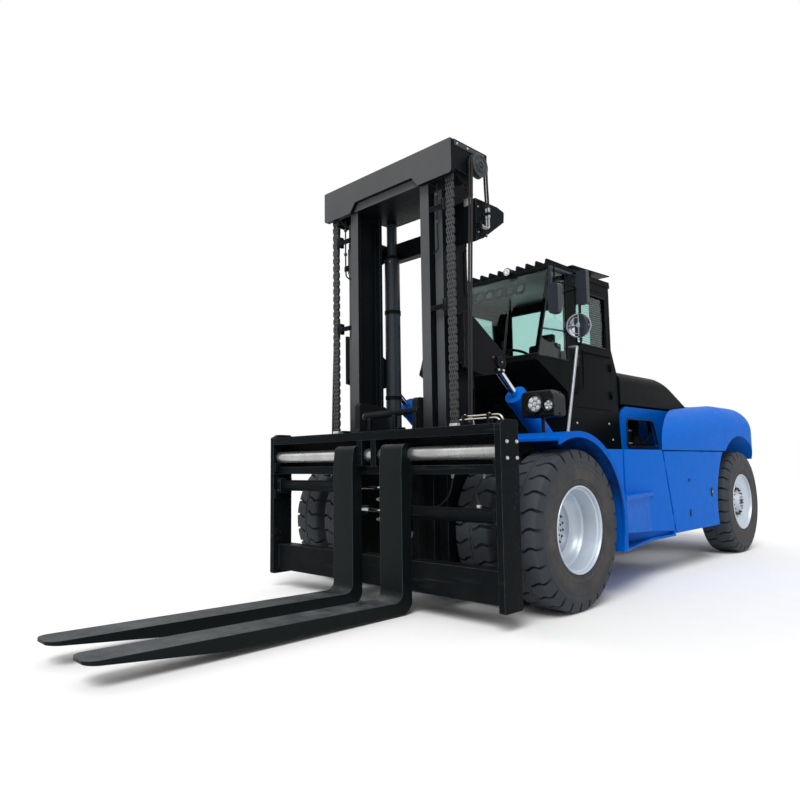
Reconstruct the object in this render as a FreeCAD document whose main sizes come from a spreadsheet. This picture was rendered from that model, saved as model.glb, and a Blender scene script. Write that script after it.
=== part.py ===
"""Heavy diesel forklift truck with twin drive wheels, a two-stage mast and shaft-hung forks.

Millimetres, +Z up, ground at Z = 0. The forks point to -Y and the truck's left side is +X.
Every Y given to the helpers is counted from the drive axle; driveY places that axle in the
frame so that the origin lies under the middle of the whole machine.
"""
import FreeCAD, Part
import math
import os
import re

import Sketcher

V = FreeCAD.Vector
doc = FreeCAD.newDocument("diesel_forklift")
sheet = doc.addObject("Spreadsheet::Sheet", "sizes")
aliases = []


def size(alias, value):
    """Adds one driving dimension, a number or a formula of earlier ones, to the sheet."""
    cell = "A%d" % (len(aliases) + 1)
    sheet.set(cell, value if isinstance(value, str) else repr(value))
    sheet.setAlias(cell, alias)
    aliases.append(alias)


# --- Wheels and axles -------------------------------------------------------------------
size("wheelbase", 5200)
size("tyreRadius", 745)
size("tyreWidth", 422)
size("tyreBead", 330.3)          # bore radius of a tyre
size("beadHalf", 185.7)          # half the width of a tyre's foot, between the rim's flanges
size("runGap", 0.3)              # gap between a shaft and what turns or slides on it
size("twinPitch", 510)           # between the middles of two twin tyres
size("twinX", 1226)              # middle plane of a pair of twin wheels
size("rearX", 1245)              # middle plane of a rear wheel
size("flangeRadius", 406)
size("barrelBore", 298)
size("spindleRadius", 110)       # of the drive axle
size("stubRadius", 70)           # of a steered wheel's stub axle
size("hubSeat", 122)             # where that stub ends inside the wheel, from its middle plane
size("kingpinX", 970)
size("kingpinRadius", 45)
size("axleTube", 140)            # radius of the drive axle's round seats for the mast
size("forkTipY", -3960)
size("rearEndY", "=wheelbase + 1000")
sheet.set("B1", "place of the drive axle along Y")
size("driveY", "=-(forkTipY + rearEndY) / 2")

# --- Mast -------------------------------------------------------------------------------
size("mastFootZ", 220)
size("outerTopZ", 4090)
size("outerOut", 700)            # outer face of an outer rail
size("outerIn", 600)
size("outerFrontY", -730)
size("outerBackY", -360)
size("railWall", 40)
size("innerOut", 585)
size("innerIn", 470)
size("innerFrontY", -800)
size("innerBackY", -430)
size("beamZ", "=outerTopZ + 70")              # underside of the mast's top beam
size("beamTopZ", "=beamZ + 328")
size("beamHalf", 953)
size("beamFrontY", -879)
size("beamBackY", -310)
size("earZ", "=beamZ - 18")
size("liftX", 500)
size("liftY", -240)
size("liftRadius", 88)
size("liftRod", 60)
size("liftTopZ", "=outerTopZ - 340")
size("chainX", 866)
size("chainWide", 90)
size("chainDeep", 44)
size("sheaveRadius", 125)
size("sheaveY", -640)
size("sheaveZ", "=beamZ + 110")
size("sheaveIn", 790)             # inner cheek of a chain sheave
size("cheekWall", 34)

# --- Tilt cylinders ---------------------------------------------------------------------
size("tiltX", 800)
size("tiltPinY", -80)
size("tiltPinZ", 2390)
size("tiltBaseY", 1100)
size("tiltBaseZ", 1420)
size("tiltRadius", 112)
size("tiltRod", 38)
size("tiltPin", 35)
size("tiltEyeGap", 9)            # room in the rod's eye, where the linkage is opened

# --- Carriage and forks -----------------------------------------------------------------
size("carriageHalf", 1629)
size("carriageFrontY", -1141)
size("carriageBackY", -888)
size("carriageTopZ", 1695)
size("carriageFootZ", 157)
size("sidePlate", 60)
size("shaftRadius", 65)
size("shaftY", -1040)
size("shaftZ", 1465)
size("forkWide", 290)
size("forkLeftX", 394)
size("forkRightX", -287)
size("forkFrontY", -1195)
size("forkThick", 125)
size("forkFloor", 12)            # under the blade
size("bladeThick", 114)
size("forkRise", 60)             # how much higher a fork's tip lies than its heel
size("tipThick", 26)
size("tipTaper", 1000)           # length of the thinning run before the tip
size("tipRound", 95)
size("ribX", 100)
size("ribWide", 70)
size("bracketIn", 385)           # roller brackets of the carriage
size("bracketOut", 460)
size("rollerRadius", 133)
size("highTubeZ", 1145)
size("lowTubeZ", 920)
size("tubeY", -1000)
size("tubeRadius", 62)
size("tubeInX", 380)             # inner end of a positioner tube
size("pusherRod", 24)
size("pusherLong", 1640)

# --- Chassis and body -------------------------------------------------------------------
size("bodyHalf", 1450)
size("deckZ", 1500)              # top of the tanks and steps, foot of the cab
size("shellTopZ", 2100)           # foot of the hood
size("crownZ", 2195)             # top of the counterweight
size("frameOut", 480)
size("frameWall", 40)
size("seatZ", 905)               # the frame rests on the drive axle here
size("archRadius", 980)
size("spineZ", 1010)             # underside of the frame over the steer axle
size("lobeZ", 1380)              # foot of the counterweight's rear lobes
size("stepZ", 450)
size("tankZ", 620)
size("tankY", 930)
size("tankSplitY", 1360)         # shut line between the front and main tank
size("tankSplit", 40)
size("ledgeZ", 1010)             # top of the flared lower panel
size("ledgeEndY", 2010)
size("frameFootZ", 560)
size("frameTailZ", 700)
size("engineZ", 900)
size("frameEndY", "=wheelbase - 920")
size("shoulder", 390)            # rounding along the top of the counterweight and shells
size("shellWall", 40)
size("doorLineX", "=bodyHalf - 10")
size("towZ", 960)
size("towRadius", 26)
size("fenderRadius", 885)
size("fenderWall", 25)
size("fenderOut", 1700)
size("fenderTop", "=tyreRadius + fenderRadius + fenderWall")
size("fenderIn", 925)
size("fenderFrontY", -340)
size("shellFrontY", 2400)
size("shellIn", 930)             # inner face of a rear side shell
size("shellSweep", 1700)         # how far back its front edge runs towards the middle
size("shellLean", 5.3)           # degrees by which its top falls towards the front
size("bayFrontY", 2520)
size("bayTopZ", "=shellTopZ - 20")
size("seamY", 2412)              # hinge line of the rear side doors at deck height
size("seamLean", 0.28)           # how far that line runs back for each millimetre down
size("seamHalf", 20)
size("ballastY", "=wheelbase - 250")           # front of the counterweight
size("bayIn", 860)               # inner face of the wall beside the engine bay
size("bayWall", 30)
size("hoodHalf", 900)
size("hoodTopZ", 2545)
size("hoodWall", 30)
size("hoodFrontY", 2500)
size("hoodEndY", "=ballastY - 60")
size("hoodKneeY", "=hoodEndY - 1220")
size("hoodFootY", "=hoodEndY - 250")
size("hoodGap", 6)
size("hoodAxisY", "=ballastY - 32")
size("hoodAxisZ", "=shellTopZ + 24")
size("hoodPin", 9)

# --- Cab --------------------------------------------------------------------------------
size("cabHalf", 880)
size("cabWall", 50)
size("floorZ", 1970)
size("eavesZ", 3600)
size("noseY", 600)
size("noseZ", 2500)
size("browY", 950)
size("postY", 1335)              # front edge of the door opening
size("hingePostY", 2285)         # rear edge of the door opening
size("cabBackY", 2330)
size("cabHeelY", 2450)
size("cabFootY", 1285)           # front foot of the cab
size("kneeY", 1230)              # where the cab's front starts to lean forward
size("kneeZ", 2180)
size("heelZ", 2520)
size("backBreakZ", 2790)
size("sillZ", "=noseZ + 60")     # foot of the windscreen
size("paneSeat", 14)             # how far the side walls stand behind the windscreen's face
size("cornerPost", 20)
size("lintelZ", 3500)
size("doorGap", 7)
size("hingePin", 8)
size("hingeEye", 14)
size("doorAxisX", "=cabHalf + hingeEye + 1")
size("doorAxisY", "=hingePostY - 3")
size("glassThick", 8)
size("engineHalf", 380)
size("roofThick", 42)
size("guardBars", 13)            # bars of the roof guard
size("guardPitch", 135)
size("guardTopZ", 3722)
size("mirrorTurn", 21)
size("lampY", 0)
size("lampIn", 1070)
size("lampWide", 370)
size("lampLow", 1812)
size("lampHigh", 2088)
size("lampRound", 85)
doc.recompute()

WORD = re.compile(r"\b(%s)\b" % "|".join(sorted(aliases, key=len, reverse=True)))


def bound(text):
    """Turns a formula of plain aliases into one that refers to the sheet."""
    return WORD.sub(r"sizes.\1", str(text))


def value(text):
    """The number that a formula gives now."""
    return float(sheet.evalExpression(bound(text)))


def origin_plane(body, role):
    return [item for item in body.Origin.OriginFeatures if item.Role == role][0]


# The origin planes by the axes they hold.
PLANES = {"XY": "XY_Plane", "XZ": "XZ_Plane", "YZ": "YZ_Plane"}


def corner_frame(points, index):
    """Directions from a corner to its neighbours."""
    here = points[index]
    back = (points[index - 1] - here).normalize()
    ahead = (points[(index + 1) % len(points)] - here).normalize()
    return here, back, ahead


def draw_loop(sketch, corners):
    """Draws one closed outline of straight runs. A corner is (x, y) or (x, y, radius)."""
    count = len(corners)
    points = [V(value(corner[0]), value(corner[1]), 0) for corner in corners]
    radii = [value(corner[2]) if len(corner) > 2 else 0 for corner in corners]
    enter, leave, centres = [], [], []
    for index in range(count):
        here, back, ahead = corner_frame(points, index)
        if radii[index]:
            half = back.getAngle(ahead) / 2
            run = radii[index] / math.tan(half)
            enter.append(here + back * run)
            leave.append(here + ahead * run)
            middle = (back + ahead).normalize()
            centres.append(here + middle * (radii[index] / math.sin(half)))
        else:
            enter.append(here)
            leave.append(here)
            centres.append(None)
    lines = [
        sketch.addGeometry(Part.LineSegment(leave[index], enter[(index + 1) % count]), False)
        for index in range(count)
    ]
    for index, corner in enumerate(corners):
        before, after = lines[index - 1], lines[index]
        if radii[index]:
            round_corner(sketch, corner, (enter[index], leave[index], centres[index]), before, after)
        else:
            sketch.addConstraint(Sketcher.Constraint("Coincident", before, 2, after, 1))
            fix_point(sketch, after, corner)


def fix_point(sketch, geometry, corner):
    """Ties a point to the sketch's origin by two named distances."""
    for kind, text in (("DistanceX", corner[0]), ("DistanceY", corner[1])):
        index = sketch.addConstraint(Sketcher.Constraint(kind, -1, 1, geometry, 1, value(text)))
        sketch.setExpression("Constraints[%d]" % index, bound(text))


def round_corner(sketch, corner, places, before, after):
    """Puts a tangent arc between two lines that meet in a construction point."""
    enter, leave, centre = places
    start = math.atan2(enter.y - centre.y, enter.x - centre.x)
    end = math.atan2(leave.y - centre.y, leave.x - centre.x)
    forward = (end - start) % (2 * math.pi) < math.pi
    circle = Part.Circle(centre, V(0, 0, 1), (enter - centre).Length)
    limits = (start, end) if forward else (end, start)
    arc = sketch.addGeometry(Part.ArcOfCircle(circle, *limits), False)
    enter_end, leave_end = (1, 2) if forward else (2, 1)
    sketch.addConstraint(Sketcher.Constraint("Tangent", before, 2, arc, enter_end))
    sketch.addConstraint(Sketcher.Constraint("Tangent", arc, leave_end, after, 1))
    index = sketch.addConstraint(Sketcher.Constraint("Radius", arc, circle.Radius))
    sketch.setExpression("Constraints[%d]" % index, bound(corner[2]))
    point = sketch.addGeometry(Part.Point(V(value(corner[0]), value(corner[1]), 0)), True)
    fix_point(sketch, point, corner)
    sketch.addConstraint(Sketcher.Constraint("PointOnObject", point, 1, before))
    sketch.addConstraint(Sketcher.Constraint("PointOnObject", point, 1, after))


def new_sketch(body, name, plane, loops, start):
    """A sketch on one of the body's origin planes, moved to start along that plane's axis."""
    sketch = body.newObject("Sketcher::SketchObject", name)
    sketch.AttachmentSupport = [(origin_plane(body, PLANES[plane]), "")]
    sketch.MapMode = "FlatFace"
    if plane == "XY":
        offsets = {"y": "driveY", "z": start}
    elif plane == "XZ":
        offsets = {"z": "-(driveY + (%s))" % start}
    else:
        offsets = {"x": "driveY", "z": start}
    for axis, text in offsets.items():
        sketch.setExpression("AttachmentOffset.Base." + axis, bound(text))
    for loop in loops:
        draw_loop(sketch, loop)
    return sketch


def plate(name, plane, loops, start, depth):
    """A body padded from one outline with holes; start and depth run along the third axis."""
    body = doc.addObject("PartDesign::Body", name)
    sketch = new_sketch(body, name + "_outline", plane, loops, start)
    pad = body.newObject("PartDesign::Pad", name + "_pad")
    pad.Profile = sketch
    pad.Reversed = plane == "XZ"
    pad.setExpression("Length", bound(depth))
    return body


def lathe(name, corners, x, y, z):
    """A body turned about an axis along X through (x, y, z); corners are (along, radius)."""
    body = doc.addObject("PartDesign::Body", name)
    sketch = body.newObject("Sketcher::SketchObject", name + "_section")
    sketch.AttachmentSupport = [(origin_plane(body, "XY_Plane"), "")]
    sketch.MapMode = "FlatFace"
    draw_loop(sketch, corners)
    turn = body.newObject("PartDesign::Revolution", name + "_turn")
    turn.Profile = sketch
    turn.ReferenceAxis = (sketch, ["H_Axis"])
    turn.Angle = 360
    place(body, x, y, z)
    return body


def place(item, x, y, z):
    for axis, text in (("x", x), ("y", "driveY + (%s)" % y), ("z", z)):
        item.setExpression("Placement.Base." + axis, bound(text))


def block(name, x, y, z):
    """A box between two places along each axis."""
    item = doc.addObject("Part::Box", name)
    for side, (low, high) in (("Length", x), ("Width", y), ("Height", z)):
        item.setExpression(side, bound("(%s) - (%s)" % (high, low)))
    place(item, x[0], y[0], z[0])
    return item


TURNS = {"X": FreeCAD.Rotation(V(0, 1, 0), 90), "Y": FreeCAD.Rotation(V(1, 0, 0), -90),
         "Z": FreeCAD.Rotation()}


def rod(name, axis, start, length, radius):
    """A cylinder from start along an axis."""
    item = doc.addObject("Part::Cylinder", name)
    item.Placement = FreeCAD.Placement(V(), TURNS[axis])
    item.setExpression("Radius", bound(radius))
    item.setExpression("Height", bound(length))
    place(item, *start)
    return item


def slant(name, start, end, radius, inset="0"):
    """A cylinder in a plane of constant X, from start to end, both (y, z), from inset on."""
    x, (y1, z1), (y2, z2) = start[0], start[1:], end
    item = doc.addObject("Part::Cylinder", name)
    item.Placement = FreeCAD.Placement(V(), FreeCAD.Rotation(V(1, 0, 0), 30))
    reach = "sqrt(((%s) - (%s)) ^ 2 + ((%s) - (%s)) ^ 2)" % (y2, y1, z2, z1)
    item.setExpression("Placement.Rotation.Angle", bound("atan2((%s) - (%s); (%s) - (%s))" % (y1, y2, z2, z1)))
    item.setExpression("Radius", bound(radius))
    item.setExpression("Height", bound("%s - (%s)" % (reach, inset)))
    step_y = "(%s) + ((%s) - (%s)) * (%s) / %s" % (y1, y2, y1, inset, reach)
    step_z = "(%s) + ((%s) - (%s)) * (%s) / %s" % (z1, z2, z1, inset, reach)
    place(item, x, step_y, step_z)
    return item


def lean(item, angle, y, z):
    """Tilts a piece about a line along X through (y, z), its rear end upwards."""
    item.Placement = FreeCAD.Placement(V(), FreeCAD.Rotation(V(1, 0, 0), 1))
    turn, depth = "(%s) * 1deg" % angle, "(driveY + (%s))" % y
    item.setExpression("Placement.Rotation.Angle", bound(turn))
    item.setExpression("Placement.Base.y",
                       bound("%s * (1 - cos(%s)) + (%s) * sin(%s)" % (depth, turn, z, turn)))
    item.setExpression("Placement.Base.z",
                       bound("(%s) * (1 - cos(%s)) - %s * sin(%s)" % (z, turn, depth, turn)))


def fuse(name, *parts):
    item = doc.addObject("Part::MultiFuse", name)
    item.Shapes = list(parts)
    item.Refine = True
    return item


def cut(name, base, *tools):
    item = doc.addObject("Part::Cut", name)
    item.Base = base
    item.Tool = tools[0] if len(tools) == 1 else fuse(name + "_tools", *tools)
    item.Refine = True
    return item


def both(name, *parts):
    """What two pieces share."""
    item = doc.addObject("Part::MultiCommon", name)
    item.Shapes = list(parts)
    return item


def gather(name, *parts):
    item = doc.addObject("Part::Compound", name)
    item.Links = list(parts)
    return item


def mirror(name, source):
    """The same piece on the other side of the truck."""
    item = doc.addObject("Part::Mirroring", name)
    item.Source = source
    item.Normal = V(1, 0, 0)
    item.Base = V(0, 0, 0)
    return item


nodes = {}


def node(name, item):
    item.Label = name
    nodes[name] = item
    return item


def pair(name, item):
    """Keeps a left-hand piece and its mirror image as two nodes."""
    node(name + "_left", item)
    node(name + "_right", mirror(name + "_mirrored", item))


def twins(name, item):
    """Keeps a left-hand piece and its mirror image in one node."""
    node(name, gather(name + "_pair", item, mirror(name + "_mirrored", item)))


# --- Wheels -----------------------------------------------------------------------------


def flipped(corners):
    """The same outline on the other side of its own zero."""
    return [("-(%s)" % corner[0],) + corner[1:] for corner in reversed(corners)]


def tyre(name, x, y):
    half = "tyreWidth / 2"
    side = [("beadHalf", "tyreBead"), ("beadHalf", "flangeRadius + 6"),
            (half, "flangeRadius + 60", 60), (half, "tyreRadius - 95", 120),
            (half + " - 24", "tyreRadius", 40)]
    return lathe(name, flipped(side) + side, x, y, "tyreRadius")


def rim_flange(middle):
    """The outboard flange of a rim and the foot of its seat, about the rim's middle plane."""
    side = "(%s) + beadHalf" % middle
    return [(side + " + 14", "barrelBore + 14"), (side + " + 14", "flangeRadius - 6"),
            (side + " + 8", "flangeRadius"), (side + " + runGap", "flangeRadius"),
            (side + " + runGap", "tyreBead - runGap")]


def rim(name, middle, disc, x, y):
    """A rim: its disc, then the outboard flange, the tyre's seat and the inboard flange."""
    return lathe(name, disc + rim_flange(middle) + flipped(rim_flange("-(%s)" % middle)), x, y, "tyreRadius")


def make_wheels():
    half = "twinPitch / 2"
    outer = tyre("outer_tyre", "twinX + " + half, "0")
    inner = tyre("inner_tyre", "twinX - " + half, "0")
    pair("front_tyres", gather("front_tyres_pair", outer, inner))

    hub = [("0", "270"), ("0", "spindleRadius"), ("26", "spindleRadius"), ("26", "0"), ("190", "0"),
           ("190", "108", 12), ("166", "150"),
           ("114", "166"), ("114", "240"), ("150", "262"), ("174", "268"), ("182", "barrelBore"),
           (half + " + 140", "barrelBore"), (half + " + 152", "barrelBore + 14")]
    plain = [("0", "270"), ("0", "spindleRadius"), ("30", "spindleRadius"), ("30", "240"),
             ("90", "barrelBore - 4")]
    far = rim("outer_rim", half, hub, "twinX", "0")
    near = lathe("inner_rim", flipped(plain + rim_flange(half) + flipped(rim_flange("-(%s)" % half))),
                 "twinX", "0", "tyreRadius")
    pair("front_rims", fuse("front_rims_pair", far, near))

    pair("rear_tyre", tyre("steer_tyre", "rearX", "wheelbase"))
    disc = [("-beadHalf - 14", "barrelBore + 14"), ("60", "barrelBore - 4"), ("62", "262"),
            ("62", "stubRadius + runGap"), ("hubSeat", "stubRadius + runGap"), ("hubSeat", "0"), ("176", "0"),
            ("176", "98", 10), ("132", "126"), ("108", "134"), ("108", "250"), ("134", "barrelBore")]
    back = flipped(rim_flange("0"))[:-1]
    pair("rear_rim", lathe("steer_rim", disc + rim_flange("0") + back, "rearX", "wheelbase", "tyreRadius"))


def make_axles():
    half = [("170", "260", 60), ("330", "axleTube"), ("740", "axleTube"), ("740", "232"), ("905", "232"),
            ("905", "spindleRadius - runGap"), ("twinX + 20", "spindleRadius - runGap"), ("twinX + 20", "0")]
    housing = lathe("axle_housing", flipped(half) + half, "0", "0", "tyreRadius")
    left = block("axle_seat", ("frameOut - 80", "frameOut + 40"), ("-100", "100"), ("tyreRadius", "seatZ"))
    node("drive_axle", fuse("drive_axle_body", housing, left, mirror("axle_seat_mirrored", left)))

    beam = block("steer_beam", ("-(kingpinX - 110)", "kingpinX - 110"), ("wheelbase - 100", "wheelbase + 100"),
                 ("tyreRadius - 116", "tyreRadius + 116"))
    head = block("steer_head", ("-150", "150"), ("wheelbase - 220", "wheelbase + 220"),
                 ("tyreRadius + 90", "spineZ"))
    barrel = rod("steer_cylinder", "X", ("-350", "wheelbase + 145", "tyreRadius + 30"), "700", "60")
    piston = rod("steer_piston", "X", ("-560", "wheelbase + 145", "tyreRadius + 30"), "1120", "28")
    lugs = []
    for level, low in (("high", "tyreRadius + 114"), ("low", "tyreRadius - 164")):
        arm = block("lug_arm_" + level, ("kingpinX - 150", "kingpinX"), ("wheelbase - 85", "wheelbase + 85"),
                    (low, low + " + 50"))
        eye = rod("lug_eye_" + level, "Z", ("kingpinX", "wheelbase", low), "50", "85")
        lugs += [arm, eye, mirror("lug_arm_mirrored_" + level, arm), mirror("lug_eye_mirrored_" + level, eye)]
    whole = fuse("steer_axle_whole", beam, head, barrel, piston, *lugs)
    bore = rod("kingpin_bore", "Z", ("kingpinX", "wheelbase", "tyreRadius - 200"), "400", "kingpinRadius + runGap")
    axle = cut("steer_axle_body", whole, bore, mirror("kingpin_bore_mirrored", bore))
    axle.Refine = False
    node("steer_axle", axle)

    drum = rod("knuckle_drum", "Z", ("kingpinX", "wheelbase", "tyreRadius - 108"), "216", "80")
    pin = rod("knuckle_pin", "Z", ("kingpinX", "wheelbase", "tyreRadius - 170"), "346", "kingpinRadius")
    root = rod("knuckle_root", "X", ("kingpinX", "wheelbase", "tyreRadius"), "150", "98")
    stub = rod("knuckle_stub", "X", ("kingpinX", "wheelbase", "tyreRadius"), "rearX - kingpinX + hubSeat - 4", "stubRadius")
    arm = block("knuckle_arm", ("kingpinX - 34", "kingpinX + 34"), ("wheelbase - 34", "wheelbase + 230"),
                ("tyreRadius + 170", "tyreRadius + 196"))
    pair("steer_knuckle", fuse("steer_knuckle_body", drum, pin, root, stub, arm))


# --- Mast -------------------------------------------------------------------------------


def channel(name, out, into, front, back, low, high):
    """A rolled mast rail, open towards the middle of the truck."""
    wall = "railWall"
    corners = [(out, front), (out, back), (into, back), (into, "(%s) - %s" % (back, wall)),
               ("(%s) - %s" % (out, wall), "(%s) - %s" % (back, wall), 18),
               ("(%s) - %s" % (out, wall), "(%s) + %s" % (front, wall), 18),
               (into, "(%s) + %s" % (front, wall)), (into, front)]
    return plate(name, "XY", [corners], low, "(%s) - (%s)" % (high, low))


def make_outer_mast():
    rail = channel("outer_rail", "outerOut", "outerIn", "outerFrontY", "outerBackY", "mastFootZ", "outerTopZ")
    deep = "outerOut - outerIn"
    ring = rod("mast_cap", "X", ("outerIn", "0", "tyreRadius"), deep, "axleTube + 66")
    arm = plate("mast_arm", "YZ", [[("outerBackY", "tyreRadius - 330"), ("outerBackY", "tyreRadius + 330"),
                                    ("0", "tyreRadius + axleTube + 66"), ("0", "tyreRadius - axleTube - 66")]],
                "outerIn", deep)
    outline = [("outerFrontY + 90", "tiltPinZ + 450"), ("outerFrontY + 190", "tiltPinZ + 450", 60),
               ("tiltPinY + 90", "tiltPinZ + 100", 60), ("tiltPinY + 120", "tiltPinZ - 10", 40),
               ("tiltPinY + 50", "tiltPinZ - 110", 60), ("outerBackY", "tiltPinZ - 150"),
               ("outerFrontY + 90", "tiltPinZ - 100")]
    near = plate("gusset_near", "YZ", [outline], "outerOut", "50")
    far = plate("gusset_far", "YZ", [outline], "tiltX + 44", "30")
    web = block("gusset_web", ("outerOut", "tiltX + 60"), ("outerFrontY + 90", "outerFrontY + 190"),
                ("tiltPinZ - 60", "tiltPinZ + 430"))
    pin = rod("tilt_pin", "X", ("outerOut", "tiltPinY", "tiltPinZ"), "tiltX + 86 - outerOut", "tiltPin")
    bore = rod("cap_bore", "X", ("outerIn - 10", "0", "tyreRadius"), deep + " + 20", "axleTube + runGap")
    whole = fuse("outer_rail_whole", rail, ring, arm, near, far, web, pin)
    twins("outer_mast_rails", cut("outer_rail_body", whole, bore))

    back = "liftY + liftRadius + runGap"
    profile = [("-515", "outerTopZ - 105"), (back, "outerTopZ - 105"), ("%s + 115" % back, "outerTopZ - 130", 20),
               ("%s + 105" % back, "outerTopZ - 240"), ("-369", "outerTopZ - 469"), ("-515", "outerTopZ - 545")]
    end = plate("tie_end", "YZ", [profile], "outerOut", "beamHalf - outerOut")
    top = block("top_tie", ("-outerOut", "outerOut"), (back, back + " + 100"), ("outerTopZ - 340", "outerTopZ - 130"))
    foot = block("foot_tie", ("-outerOut", "outerOut"), ("outerBackY", "-110"), ("mastFootZ", "mastFootZ + 80"))
    node("outer_mast_ties", gather("outer_mast_ties_pair", fuse("top_tie_body", top, end, mirror("tie_end_mirrored", end)),
                                   foot))


def make_lift_cylinders():
    shell = rod("lift_shell", "Z", ("liftX", "liftY", "mastFootZ + 80"), "liftTopZ - mastFootZ - 80", "liftRadius")
    collar = rod("lift_collar", "Z", ("liftX", "liftY", "liftTopZ - 90"), "90", "liftRadius - 1")
    bore = rod("lift_bore", "Z", ("liftX", "liftY", "mastFootZ + 160"), "liftTopZ", "liftRod + runGap")
    barrel = cut("lift_barrel", fuse("lift_barrel_whole", shell, collar), bore)
    twins("lift_barrels", barrel)
    stem = rod("lift_rod", "Z", ("liftX", "liftY", "mastFootZ + 500"), "beamZ - mastFootZ - 500", "liftRod")
    twins("lift_rods", stem)


def make_inner_mast():
    rail = channel("inner_rail", "innerOut", "innerIn", "innerFrontY", "innerBackY", "mastFootZ + 20", "beamZ")
    rollers = [rod("rail_roller_" + level, "X", ("innerOut", "(outerFrontY + outerBackY) / 2", z),
                   "outerOut - railWall - innerOut - 12", "(outerBackY - outerFrontY) / 2 - railWall - 7")
               for level, z in (("low", "mastFootZ + 500"), ("high", "mastFootZ + 1650"))]
    twins("inner_mast_rails", fuse("inner_rail_body", rail, *rollers))

    ear, notch = "beamHalf - 440", "beamHalf - 525"
    face = [("-beamHalf", "beamTopZ", 14), ("-beamHalf", "earZ", 30), ("-(%s)" % ear, "earZ"),
            ("-(%s)" % notch, "earZ + 104"), (notch, "earZ + 104"), (ear, "earZ"), ("beamHalf", "earZ", 30),
            ("beamHalf", "beamTopZ", 14)]
    front = plate("beam_face", "XZ", [face], "beamFrontY", "50")
    cover = block("beam_cover", ("-beamHalf", "beamHalf"), ("beamFrontY + 50", "beamBackY"),
                  ("beamTopZ - 30", "beamTopZ"))
    core = block("beam_core", ("-innerOut", "innerOut"), ("beamFrontY + 50", "liftY + liftRadius"),
                 ("beamZ", "beamTopZ - 30"))
    cheek = [("beamFrontY + 50", "beamTopZ - 30"), ("beamFrontY + 50", "earZ + 60"), ("sheaveY + 60", "earZ + 30", 60),
             ("beamBackY", "beamTopZ - 165", 30), ("beamBackY", "beamTopZ - 30")]
    parts = [front, cover, core]
    for name, low in (("end", "beamHalf - cheekWall"), ("rib", "sheaveIn - cheekWall")):
        part = plate("beam_" + name, "YZ", [cheek], low, "cheekWall")
        parts += [part, mirror("beam_%s_mirrored" % name, part)]
    node("mast_head_beam", fuse("mast_head_beam_body", *parts))

    middle = "(sheaveIn + beamHalf - cheekWall) / 2"
    half = "chainWide / 2"
    side = [(half + " + 2", "sheaveRadius"), (half + " + 2", "sheaveRadius + 26"),
            (half + " + 10", "sheaveRadius + 26"), (half + " + 10", "50"),
            ("(beamHalf - cheekWall - sheaveIn) / 2 - runGap", "50"),
            ("(beamHalf - cheekWall - sheaveIn) / 2 - runGap", "0")]
    twins("chain_sheaves", lathe("sheave_wheel", flipped(side) + side, middle, "sheaveY", "sheaveZ"))
    back = "sheaveY - sheaveRadius - runGap"
    twins("lift_chains", block("chain_run", (middle + " - " + half, middle + " + " + half),
                             (back + " - chainDeep", back), ("carriageTopZ + runGap", "sheaveZ")))


def make_tilt_cylinders():
    base, top = ("tiltBaseY", "tiltBaseZ"), ("tiltPinY", "tiltPinZ")
    neck = ("tiltBaseY + (tiltPinY - tiltBaseY) * 0.69", "tiltBaseZ + (tiltPinZ - tiltBaseZ) * 0.69")
    throat = ("tiltBaseY + (tiltPinY - tiltBaseY) * 0.62", "tiltBaseZ + (tiltPinZ - tiltBaseZ) * 0.62")
    shell = slant("tilt_shell", ("tiltX",) + base, neck, "tiltRadius", "70")
    collar = slant("tilt_collar", ("tiltX",) + throat, neck, "tiltRadius + 6")
    foot = rod("tilt_foot", "X", ("tiltX - 40",) + base, "80", "90")
    bore = slant("tilt_bore", ("tiltX",) + base, top, "tiltRod + runGap", "260")
    hole = rod("tilt_foot_bore", "X", ("tiltX - 50",) + base, "100", "tiltPin + runGap")
    twins("tilt_barrels", cut("tilt_barrel_body", fuse("tilt_barrel_whole", shell, collar, foot), bore, hole))
    stem = slant("tilt_stem", ("tiltX",) + base, top, "tiltRod", "560")
    eye = rod("tilt_eye", "X", ("tiltX - 38",) + top, "76", "tiltPin + tiltEyeGap + 34")
    eye_bore = rod("tilt_eye_bore", "X", ("tiltX - 50",) + top, "100", "tiltPin + tiltEyeGap")
    twins("tilt_rods", cut("tilt_rod_body", fuse("tilt_rod_whole", stem, eye), eye_bore))


# --- Carriage and forks -----------------------------------------------------------------


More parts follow.
